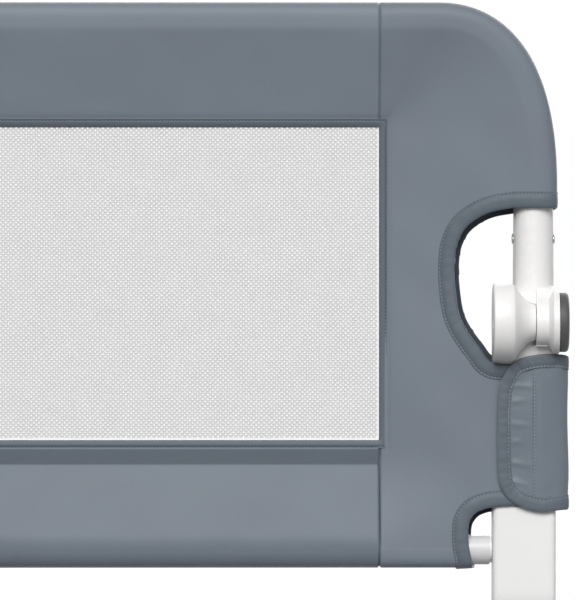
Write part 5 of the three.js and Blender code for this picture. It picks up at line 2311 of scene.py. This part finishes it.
@dataclass
class Cover:
    """The whole cover: both end panels, the two strips, the window, the bindings and the flaps.

    The rim's stitches lie rim_turn degrees from the cover's face, from rim_start above the grip.
    """

    form: CoverForm = field(default_factory=CoverForm)
    rim_turn: float = 58.0
    rim_start: float = 4.0
    rim_row: StitchRow = StitchRow(3.0, 2.2, 0.42, 0.16)

    def rim_stitches(self, side: Side, paint: Paint) -> bpy.types.Object:
        """The seam inside the cover's rim, front and back, from the grip up round the corner.

        Args:
            side: the end of the rail.
            paint: the materials.

        Returns:
            The stitches.
        """
        form, turn = self.form, math.radians(self.rim_turn)
        axis, outward, hem = EndPanel(form).stations()
        keep = axis[:, 1] > GRIP.top + self.rim_start
        axis, outward, hem = axis[keep], outward[keep], hem[keep]
        facing = unit(mix(unit(axis - hem), outward, 0.9)) * math.sin(turn)
        radius = float(form.around(np.array(math.pi / 2 - turn), form.edge_radius))
        rows = []
        for layer in Layer:
            y = np.full(len(axis), layer.value * math.cos(turn))
            normal = np.column_stack([facing[:, 0], y, facing[:, 1]])
            path = np.column_stack([axis[:, 0], 0 * y, axis[:, 1]]) + normal * radius
            ribbon = Ribbon(path, normal, unit(np.cross(tangents(path), normal)))
            rows.append(self.rim_row.sew(ribbon))
        obj = sewn(f"rim_stitches_{side.tag}", together(rows).at(side), paint["stitch"])
        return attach(obj, "upper_frame")

    def build_end(self, side: Side, paint: Paint) -> None:
        """Makes one end panel with its bindings, its stitches and its flap.

        Args:
            side: the end of the rail.
            paint: the materials.
        """
        panel = EndPanel(self.form).build(side, paint)
        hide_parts(f"cover_end_upper_{side.tag}", f"cover_end_lower_{side.tag}")
        trims = [self.rim_stitches(side, paint)]
        for opening in (GRIP, NOTCH):
            trims += CutOutBinding(self.form, opening).build(side, paint)
        PostFlap().build(side, paint)
        log.info("end panel and flap, %s", side.tag)

    def build(self, paint: Paint) -> None:
        """Makes every cloth piece.

        Args:
            paint: the materials.
        """
        strip = MiddleStrip(self.form)
        top = strip.build("top", strip.top_section(), paint)
        bottom = strip.build("bottom", strip.bottom_section(), paint)
        pieces = Window(self.form).build(paint)
        net, selvedge = pieces.pop("window_net"), pieces.pop("net_selvedge")
        log.info("strips and window")
        for side in Side:
            self.build_end(side, paint)


# Frame

POST_LEFT, POST_RIGHT = 461.4, 508.9
POST_MIDDLE = (POST_LEFT + POST_RIGHT) / 2
BAR_Z = 83.4


def rod(radius: float, start: float, end: float, edge: float = 0.1, sides: int = 96) -> Surface:
    """A round bar along X with its two rims rounded off.

    Args:
        radius: its radius.
        start: its end nearer the rail's middle.
        end: its other end.
        edge: radius of the rims.
        sides: how many faces go round it.

    Returns:
        The closed bar.
    """
    turn = np.linspace(math.pi / 2, 0, 5)
    inset, drawn = edge * (1 - np.sin(turn)), edge * (1 - np.cos(turn))
    rise = np.stack([start + inset, radius - drawn], axis=1)
    fall = rise[::-1] * [-1, 1] + [start + end, 0]
    return lathe(np.vstack([[[start, 0]], rise, fall, [[end, 0]]]), sides)


def block(low: float, high: float, edge: float, steps: int = 4) -> list[tuple[float, float]]:
    """Levels of a prism whose two rims are rounded off.

    Args:
        low: its foot.
        high: its top.
        edge: radius of the rims.
        steps: places along each rim.

    Returns:
        (level, how far the outline is drawn in) from the foot up.
    """
    turn = np.linspace(0, math.pi / 2, steps)
    rise = [(low + edge * (1 - math.sin(t)), edge * (1 - math.cos(t))) for t in turn[::-1]]
    return rise + [(low + high - place, drawn) for place, drawn in rise[::-1]]


@dataclass
class HardPart:
    """One rigid piece: built at the right end, carved, mirrored, dressed and put on its node."""

    node: str
    body: Surface
    carved: list[tuple[str, Surface]] = field(default_factory=list)

    def build(self, side: Side | None, material: bpy.types.Material, slot: str) -> bpy.types.Object:
        """Makes the piece.

        Args:
            side: the end of the rail, or None for a piece that is not one of a pair.
            material: its material.
            slot: not used.

        Returns:
            The piece, riding on its node's body.
        """
        end = side or Side.RIGHT
        node = f"{self.node}_{side.tag}" if side else self.node
        obj = make_object(f"{node}_form", self.body.at(end))
        for how, tool in self.carved:
            carve(obj, tool.at(end), how)
        dress(obj, material)
        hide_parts(node)
        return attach(obj, body_of(frame["nodes"][node])[0])


@dataclass
class RailFrame:
    """The steel frame: the legs, bars, connectors, pads and their screws."""

    post_depth: float = 22.0
    corner: float = 5.75
    wall: float = 1.2
    post_top: float = 149.96
    bend: float = 40.0
    leg_end: float = 409.0
    leg_z: float = 14.3
    rear_y: float = 425.0
    rear_end: float = 441.0
    screw_z: float = 129.0
    screw_back: float = 11.15
    screw_head: float = 3.9
    slot: tuple[float, float] = (1.9, 0.45)
    pad_half: tuple[float, float] = (18.0, 23.0)
    pad_places: tuple[tuple[str, float], ...] = (("front_pad", 66.9), ("rear_pad", 372.2))

    def leg_tube(self, inset: float, extra: float) -> Surface:
        """A rounded rectangle carried down the post, round the bend and back along the leg.

        Args:
            inset: how far inside the leg's outside its faces lie.
            extra: how far it runs past both ends.

        Returns:
            The closed body.
        """
        half, deep = (POST_RIGHT - POST_LEFT) / 2 - inset, self.post_depth / 2 - inset
        ring = rounded(rectangle(-half, -deep, half, deep), self.corner - inset, 9)
        turn = np.linspace(0, math.pi / 2, 33)
        out = np.stack([np.cos(turn), np.sin(turn)], axis=1)
        place = [0, self.leg_z] + self.bend * (1 - out)
        place = np.vstack([[[0, self.post_top + extra]], place, [[self.leg_end + extra, self.leg_z]]])
        out = np.vstack([out[:1], out, out[-1:]])
        x = np.broadcast_to(POST_MIDDLE + ring[None, :, 0], (len(place), len(ring)))
        yz = place[:, None] + out[:, None] * ring[None, :, 1:]
        return tube_surface(np.concatenate([x[..., None], yz], axis=-1))

    def screw(self) -> HardPart:
        """The pan-head screw in the post's back, with a cross recess.

        Returns:
            The screw.
        """
        start, width = self.screw_back, self.screw_head
        turn = np.linspace(0, math.pi / 2, 6)
        dome = [start + 0.1 + 0.3 * np.sin(turn), width * np.cos(turn) ** 0.5]
        shank = [[start - 14, 0], [start - 12.6, 2], [start, 2], [start, width]]
        head = lathe(np.vstack([shank, np.stack(dome, axis=1)]), 48)
        x, z = POST_MIDDLE, self.screw_z
        cross = [
            prism(rectangle(z - a, x - b, z + a, x + b), [(start + 0.13, 0.2), (start + 0.85, 0)], 1)
            for a, b in (self.slot, self.slot[::-1])
        ]
        head = moved(backwards(head), x, 0, z)
        return HardPart("post_screw", head, [("DIFFERENCE", tool) for tool in cross])

    def connector(self) -> HardPart:
        """The plastic elbow between a leg and the rear bar, with its plug and its bore.

        Returns:
            The elbow.
        """
        outline = rounded(rectangle(1.8, 459.9, 26.8, 510.4), 6.8, 9)
        body = prism(outline, block(self.leg_end + 0.3, self.rear_end, 1.0), 1)
        room = self.wall + 0.3
        inner = rounded(rectangle(3.3 + room, POST_LEFT + room, 25.3 - room, POST_RIGHT - room), 4, 6)
        plug = prism(inner, block(self.leg_end - 26, self.leg_end + 2, 0.8), 1)
        bore = moved(rod(11.3, 457.9, 493.9), 0, self.rear_y, self.leg_z)
        return HardPart("rear_connector", body, [("UNION", plug), ("DIFFERENCE", bore)])

    def leg(self) -> HardPart:
        """A post with its leg, and the holes for the lower bar's bolt and the post's screw.

        Returns:
            The post.
        """
        tools = [
            self.leg_tube(self.wall, 2),
            moved(rod(6, POST_RIGHT - 3.2, POST_RIGHT + 2, sides=48), 0, 0, BAR_Z),
            moved(rod(2.8, POST_LEFT - 2, POST_LEFT + 3.2, sides=32), 0, 0, BAR_Z),
            moved(backwards(rod(2.3, 7.8, 13, sides=32)), POST_MIDDLE, 0, self.screw_z),
        ]
        return HardPart("leg", self.leg_tube(0, 0), [("DIFFERENCE", tool) for tool in tools])

    def pad(self, name: str, y: float) -> HardPart:
        """A non-slip pad under a leg.

        Args:
            name: its node.
            y: its middle, from front to back.

        Returns:
            The pad.
        """
        x, (wide, long) = POST_MIDDLE, self.pad_half
        outline = rounded(rectangle(x - wide, y - long, x + wide, y + long), 6.8, 8)
        return HardPart(name, prism(outline, block(0, 3, 0.7), 2))

    def bar(self, name: str, reach: float, y: float, z: float) -> HardPart:
        """A hollow bar between the two ends of the frame.

        Args:
            name: its node.
            reach: how far it runs to each side.
            y: its place from front to back.
            z: its height.

        Returns:
            The bar.
        """
        room = moved(rod(9.8, -reach - 2, reach + 2), 0, y, z)
        bar = moved(rod(11, -reach, reach, 0.25, 128), 0, y, z)
        return HardPart(name, bar, [("DIFFERENCE", room)])

    def build(self, paint: Paint) -> None:
        """Makes the frame's pieces.

        Args:
            paint: the materials.
        """
        for side in Side:
            self.leg().build(side, paint["steel"], "white_steel")
            self.screw().build(side, paint["zinc"], "zinc_steel")
            self.connector().build(side, paint["plastic"], "white_plastic")
            for name, y in self.pad_places:
                self.pad(name, y).build(side, paint["rubber"], "pad_rubber")
        # The bars take the darker copy of the white steel: painted shade.
        lower = self.bar("lower_bar", 459.7, 0, BAR_Z)
        for bar in (lower, self.bar("rear_bar", 493.6, self.rear_y, self.leg_z)):
            bar.build(None, paint["tube"], "white_steel")
        log.info("legs, bars, connectors and pads")


@dataclass
class Hinge:
    """The hinge at each end: housing, socket, lock button, pivot bolt and rivet."""

    drum_x: float = 461.7
    drum_end: float = 493.3
    drum_radius: float = 29.0
    outer_x: float = 510.7
    stem_low: float = 150.26
    stem_top: float = 234.68
    half_depth: float = 11.2
    socket_x: float = 493.7
    cheek_radius: float = 17.3
    cup_floor: float = 507.2
    cup_edge: float = 510.8
    side_x: float = 492.3
    foot_radius: float = 15.4
    top_radius: float = 14.7
    sleeve_foot: float = 261.98
    sleeve_top: float = 345.0
    tube_seat: float = 284.98
    rivet_z: float = 314.38
    button_back: float = 510.8
    play: float = 0.4
    cup_radius: float = 23.2
    drum_rim: float = 1.6
    corner: float = 4.6
    heel: float = 7.6
    socket_rim: float = 0.6
    shares: tuple[tuple[float, float], ...] = (
        (0.4, 1), (0.49, 0.965), (0.57, 0.85), (0.67, 0.7), (0.78, 0.58), (0.875, 0.505), (1, 0.455),
    )

    @staticmethod
    def at_axis(surface: Surface) -> Surface:
        """The surface carried to the hinge's axis."""
        return moved(surface, 0, HINGE_Y, HINGE_Z)

    def drum(self, gap: float, end: float) -> Surface:
        """The housing's drum: a wide barrel that draws in to a neck.

        Args:
            gap: how much it is grown.
            end: where it ends.

        Returns:
            The closed drum.
        """
        x, radius, rim = self.drum_x, self.drum_radius + gap, self.drum_rim
        shares = spline(np.array(self.shares), 6)
        neck = [x, gap] + shares * [self.drum_end - x, self.drum_radius]
        turn = np.linspace(math.pi / 2, 0, 7)
        edge = [x, radius] + rim * np.stack([1 - np.sin(turn), np.cos(turn) - 1], axis=1)
        last = [[end, neck[-1, 1]], [end, 0]] if end > self.drum_end else [[end, 0]]
        return self.at_axis(lathe(np.vstack([[[x, 0]], edge, neck, last]), 128))

    def cheek(self, gap: float) -> Surface:
        """The socket's cheek and cup.

        Args:
            gap: how much it is grown; its corners are rounded where it is not.

        Returns:
            The closed body.
        """
        x, low, high = self.socket_x - gap, self.cheek_radius + gap, self.cup_radius + gap
        end = self.cup_edge + gap
        corners = [[x, 0], [x, low], [x + 9, low], [x + 12.6, high], [end, high], [end, 0]]
        profile = rounded(np.array(corners), 0.01 if gap else 0.5, 4, closed=False)
        return self.at_axis(lathe(profile, 128))

    def bored(self, rods: tuple[tuple[float, float, float], ...]) -> list[tuple[str, Surface]]:
        """Bores on the hinge's axis, from (radius, start, end)."""
        return [("DIFFERENCE", self.at_axis(rod(*size))) for size in rods]

    def stem(self, end: float, low: float, high: float, edge: float) -> Surface:
        """An upright block of the housing.

        Args:
            end: its right side.
            low: its foot.
            high: its top.
            edge: radius of its rims.

        Returns:
            The closed block.
        """
        outline = rectangle(self.drum_x, -self.half_depth, end, self.half_depth)
        return prism(rounded(outline, self.corner, 10), block(low, high, edge), 2)

    def housing(self) -> HardPart:
        """The stem over the post, the shoulder, the drum and the plug in the post.

        Returns:
            The housing.
        """
        inner = rounded(rectangle(POST_LEFT + 1.5, -9.5, POST_RIGHT - 1.5, 9.5), 4, 6)
        hole = moved(backwards(rod(2.3, -3, 13, sides=32)), POST_MIDDLE, 0, RailFrame().screw_z)
        return HardPart("hinge_housing", self.stem(self.outer_x, self.stem_low, self.stem_top, 0.5), [
            ("DIFFERENCE", self.cheek(self.play)),
            ("UNION", self.stem(self.drum_end, self.stem_top - 2, HINGE_Z, 0.3)),
            ("UNION", self.drum(0, self.drum_end)),
            ("UNION", prism(inner, block(108.2, self.stem_low + 2, 0.8), 2)),
            *self.bored(((11.3, 476.3, 495.3), (4.3, 459.7, 495.3), (5.6, 459.7, 466.6))),
            ("DIFFERENCE", hole),
        ])

    def web_outline(self) -> Array:
        """The web's side view: round the axis, along the foot and up the sleeve's back.

        Returns:
            Places in Y and Z.
        """
        back, corner = self.foot_radius, self.heel
        foot = HINGE_Z - self.cheek_radius
        turn = np.linspace(-math.pi / 2, 0, 14)
        heel = np.stack([np.cos(turn), np.sin(turn)], axis=1) * corner + [back - corner, foot + corner]
        sweep = np.radians(np.linspace(108, 270, 40))
        nose = np.stack([np.cos(sweep), np.sin(sweep)], axis=1) * self.cheek_radius
        nose = nose + [HINGE_Y, HINGE_Z]
        return np.vstack([heel, [[back, self.tube_seat], [-back, self.tube_seat - corner]], nose])

    def socket(self) -> HardPart:
        """The sleeve round the side tube, the web below it, and the cheek and cup on the axis.

        Returns:
            The socket.
        """
        rim = self.socket_rim
        sleeve = lathe([
            [self.sleeve_foot, 0], [self.sleeve_foot, self.foot_radius - rim],
            [self.sleeve_foot + rim, self.foot_radius], [self.sleeve_top - rim, self.top_radius],
            [self.sleeve_top, self.top_radius - rim], [self.sleeve_top, 0],
        ], 128)
        sleeve = moved(upright(sleeve), self.side_x, 0, 0)
        end = self.side_x + self.foot_radius - 0.3
        web = prism(self.web_outline(), block(self.socket_x, end, 0.6), 0)
        tube = upright(rod(12.8, self.tube_seat - 0.3, self.sleeve_top + 2))
        rivet = rod(2.7, self.side_x - 18, self.side_x + 18, sides=32)
        return HardPart("hinge_socket", sleeve, [
            ("UNION", web),
            ("UNION", self.cheek(0)),
            ("DIFFERENCE", self.drum(self.play, self.socket_x)),
            *self.bored((
                (11.3, 491.7, 499.1), (4.3, 493.7, 512), (12, 502.1, 512), (22.4, 507.2, 513),
            )),
            ("DIFFERENCE", moved(tube, self.side_x, 0, 0)),
            ("DIFFERENCE", moved(rivet, 0, 0, self.rivet_z)),
        ])

    def button(self) -> HardPart:
        """The lock button: a round cap with a rounded rim, a dished face and three pegs.

        Returns:
            The button.
        """
        back, reach = [self.button_back, 0], 8.6
        rim = spline(np.array([[4.38, 22], [6.06, 21.34], [7.0, 19.36], [7.25, 16.4]]) + back, 6)
        face = np.array([[7.1, 14.8], [6.75, 11], [6.6, 5], [6.55, 0]]) + back
        edge = np.array([[0, 0], [0, 21.5], [0.5, 22]]) + back
        cap = self.at_axis(lathe(np.vstack([edge, rim, face]), 128))
        peg = self.at_axis(rod(1.5, 496.8, self.button_back + 2, 0.2, 24))
        angles = np.arange(3) / 3 * TAU + math.pi / 2
        pegs = [moved(peg, 0, reach * math.cos(a), reach * math.sin(a)) for a in angles]
        return HardPart("lock_button", cap, [("UNION", peg) for peg in pegs])

    def bolt(self) -> HardPart:
        """The pivot bolt with a hexagon recess in its head.

        Returns:
            The bolt.
        """
        head = self.drum_x + 0.7
        body = lathe([
            [head, 0], [head, 4.9], [head + 0.4, 5.3], [head + 3.9, 5.3], [head + 3.9, 4],
            [self.cup_floor - 0.7, 4], [self.cup_floor - 0.3, 3.6], [self.cup_floor - 0.3, 0],
        ], 64)
        recess = prism(circle(2.9, 6), [(head - 1, 0), (head + 2.4, 0.1)], 0)
        return HardPart("pivot_bolt", self.at_axis(body), [("DIFFERENCE", self.at_axis(recess))])

    def rivet(self) -> HardPart:
        """The rivet through the sleeve, with a dished head at each end.

        Returns:
            The rivet.
        """
        share = (self.rivet_z - self.sleeve_foot) / (self.sleeve_top - self.sleeve_foot)
        reach = mix(self.foot_radius, self.top_radius, share) + 0.3
        turn = np.linspace(0, math.pi / 2, 7)
        head = np.stack([reach + 0.9 * np.sin(turn), 1.6 + 2.5 * np.cos(turn)], axis=1)
        half = np.vstack([[[reach, 2.4]], head, [[reach + 0.5, 1.1], [reach + 0.45, 0]]])
        profile = np.vstack([half[::-1] * [-1, 1], half]) + [self.side_x, 0]
        return HardPart("socket_rivet", moved(lathe(profile, 48), 0, 0, self.rivet_z))

    def build(self, paint: Paint) -> None:
        """Makes the hinge's pieces at both ends.

        Args:
            paint: the materials.
        """
        for side in Side:
            for part, colour, slot in (
                (self.housing(), "plastic", "white_plastic"),
                (self.socket(), "plastic", "white_plastic"),
                (self.button(), "dark", "dark_plastic"),
                (self.bolt(), "zinc", "zinc_steel"),
                (self.rivet(), "zinc", "zinc_steel"),
            ):
                part.build(side, paint[colour], slot)
        log.info("hinges")


@dataclass
class Springs:
    """The coil behind each lock gear and the folded leaf behind each snap button."""

    coil_wire: float = 0.6
    coil_turns: int = 6
    leaf: float = 0.7
    leaf_flat: float = 9.0
    lock_travel: float = 3.3
    snap_travel: float = 3.8

    def coil(self, low: Array, high: Array) -> Surface:
        """Round wire along a helix about the hinge's axis, with a ring each fifteen degrees.

        Args:
            low: lower corner of the CAD spring.
            high: its upper corner.

        Returns:
            The closed wire.
        """
        wire = self.coil_wire
        radius = (high[2] - low[2]) / 2 - wire
        centre = (low + high) / 2
        angle = np.linspace(0, self.coil_turns * TAU, self.coil_turns * 24 + 1)[:, None]
        out = np.concatenate([0 * angle, np.cos(angle), np.sin(angle)], axis=1)
        path = [0, centre[1], centre[2]] + out * radius
        path[:, 0] = np.linspace(low[0] + wire, high[0] - wire, len(path))
        beside = np.cross(tangents(path), out)
        ring = circle(wire, 10)[None, :, :, None]
        across = ring[:, :, 0] * out[:, None]
        return tube_surface(path[:, None] + across + ring[:, :, 1] * beside[:, None])

    def folded_leaf(self, low: Array, high: Array) -> Surface:
        """A flat strip folded over on itself: one arm on the button's flange, one on the tube.

        Args:
            low: lower corner of the CAD spring.
            high: its upper corner.

        Returns:
            The closed strip.
        """
        half = self.leaf / 2
        floor, roof, end = low[2] + half, high[2] - half, high[0] - half
        bend = (roof - floor) / 4
        route = rounded(np.array([
            [low[0], floor], [low[0] + self.leaf_flat, floor], [end, floor + bend], [end, roof - bend],
            [low[0] + self.leaf_flat / 2, roof],
        ]), bend, 8, closed=False)
        out = rightwards(tangents(route))
        ring = rounded(rectangle(low[1], -half, high[1], half), 0.15, 3)
        at = route[:, None] + out[:, None] * ring[None, :, 1:]
        across = np.broadcast_to(ring[None, :, 0], at.shape[:2])
        return tube_surface(np.stack([at[..., 0], across, at[..., 1]], axis=-1))

    def build(self, paint: Paint) -> None:
        """Makes the springs.

        Args:
            paint: the materials.
        """
        for side in Side:
            for name, shape, joint, travel, axis in (
                ("lock_spring", self.coil, "lock_press", self.lock_travel, 0),
                ("snap_spring", self.folded_leaf, "snap_press", self.snap_travel, 2),
            ):
                low, high = np.array(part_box(f"{name}_right")) / MM - [0, MIDDLE_Y, 0]
                spring = HardPart(name, shape(low, high))
                spring = spring.build(side, paint["zinc"], "zinc_steel")
                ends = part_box(f"{name}_{side.tag}")
                f"{joint}_{side.tag}"
                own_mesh(spring)
        log.info("springs")


KEPT_PAINT = {
    "corner_tube": "steel", "top_tube": "steel", "bar_spigot": "plastic", "bar_bolt": "zinc",
    "pivot_nut": "zinc", "snap_button": "zinc", "lock_gear": "dark", "loop_strip": "loop",
    "hook_strip": "hook",
}


def dress_kept(paint: Paint) -> None:
    """Gives each CAD node that stays as it is its material.

    Args:
        paint: the materials.
    """
    for name, obj in frame["nodes"].items():
        finish = KEPT_PAINT.get(name.removesuffix("_right").removesuffix("_left"))
        if finish:
            obj.data.materials.clear()
            obj.data.materials.append(paint[finish])


# Stage

@dataclass
class Studio:
    """A pale floor, a pale world, soft lamps and the camera of the photograph.

    A lamp is its name, its strength, its height in degrees, its turn to the right in degrees and
    its width in degrees.
    """

    ambient: float = 0.22
    floor_reach: float = 20e3
    floor_lift: float = 0.2
    lamps: tuple[tuple[str, float, float, float, float], ...] = (
        ("key", 2.86, 34, -6, 34), ("fill", 0.45, 9, 40, 60), ("rim", 1.0, 20, 160, 40),
    )
    eye: tuple[float, float, float] = (0.0, -12.2, 0.2689)
    target: tuple[float, float, float] = (0.3096, -0.1975, 0.2689)
    lens: float = 969.5

    @staticmethod
    def seen(nodes: Nodes) -> Socket:
        """1 for rays from the camera and for mirrored or transmitted ones, 0 for the rest.

        Args:
            nodes: where the nodes are added.

        Returns:
            The mask.
        """
        path = nodes.add("ShaderNodeLightPath").outputs
        sharp = nodes.sum("MAXIMUM", path["Is Glossy Ray"], path["Is Transmission Ray"])
        return nodes.sum("MAXIMUM", path["Is Camera Ray"], sharp)

    def world(self) -> None:
        """A world that is white to look at and sheds a little light."""
        world = bpy.data.worlds.new("studio")
        world.use_nodes = True
        bpy.context.scene.world = world
        nodes = Nodes(world.node_tree)
        seen = self.seen(nodes)
        strength = nodes.sum("MULTIPLY_ADD", seen, 1 - self.ambient, self.ambient)
        ground = world.node_tree.nodes["Background"]
        ground.inputs[0].default_value = (1, 1, 1, 1)
        world.node_tree.links.new(strength, ground.inputs[1])

    def floor(self) -> None:
        """A wide floor that is white to look at, takes shadows and throws little light back."""
        corners = np.array([[-1, -1, 0], [1, -1, 0], [1, 1, 0], [-1, 1, 0]]) * self.floor_reach
        sheet = Surface(corners, [np.array([[0, 1, 2, 3]])])
        floor = make_object("studio_floor", sheet, smooth=False)
        material, nodes, shader = blank("studio_floor")
        seen = self.seen(nodes)
        nodes.fill(shader, {
            "Base Color": nodes.blend(seen, (0.25, 0.25, 0.25, 1), (0.98, 0.98, 0.98, 1)),
            "Roughness": 1.0,
            "Specular IOR Level": 0.0,
            "Emission Color": (1.0, 1.0, 1.0, 1.0),
            "Emission Strength": nodes.sum("MULTIPLY", seen, self.floor_lift),
        })
        floor.data.materials.append(material)

    @staticmethod
    def sun(name: str, strength: float, elevation: float, turn: float, softness: float) -> None:
        """A lamp at infinity.

        Args:
            name: its name.
            strength: light on a surface that faces it.
            elevation: degrees above the floor.
            turn: degrees from the front, towards the right.
            softness: its width in degrees.
        """
        lamp = bpy.data.lights.new(name, "SUN")
        lamp.energy = strength
        lamp.angle = math.radians(softness)
        obj = bpy.data.objects.new(name, lamp)
        up, across = math.radians(elevation), math.radians(turn)
        flat = math.cos(up)
        away = Vector((math.sin(across) * flat, -math.cos(across) * flat, math.sin(up)))
        obj.rotation_euler = away.to_track_quat("Z", "Y").to_euler()
        obj.location = away * 3
        bpy.context.scene.collection.objects.link(obj)

    def camera(self) -> None:
        """The photograph's camera: far away, level and opposite the rail's middle."""
        data = bpy.data.cameras.new("camera")
        data.lens = self.lens
        data.sensor_width = 36
        data.clip_end = 200
        obj = bpy.data.objects.new("camera", data)
        obj.location = self.eye
        away = Vector(self.eye) - Vector(self.target)
        obj.rotation_euler = away.to_track_quat("Z", "Y").to_euler()
        bpy.context.scene.collection.objects.link(obj)
        bpy.context.scene.camera = obj

    def build(self) -> None:
        """Sets up the stage."""
        bpy.context.scene.view_settings.view_transform = "Standard"
        self.world()
        self.floor()
        for lamp in self.lamps:
            self.sun(*lamp)
        self.camera()
        log.info("stage")


def main() -> None:
    """Builds every piece and the stage."""
    logging.basicConfig(level=logging.INFO, format="%(name)s: %(message)s")
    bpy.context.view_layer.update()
    paint = mixed_paint()
    dress_kept(paint)
    Cover().build(paint)
    RailFrame().build(paint)
    Hinge().build(paint)
    Springs().build(paint)
    Studio().build()


if __name__ == "__main__":
    main()
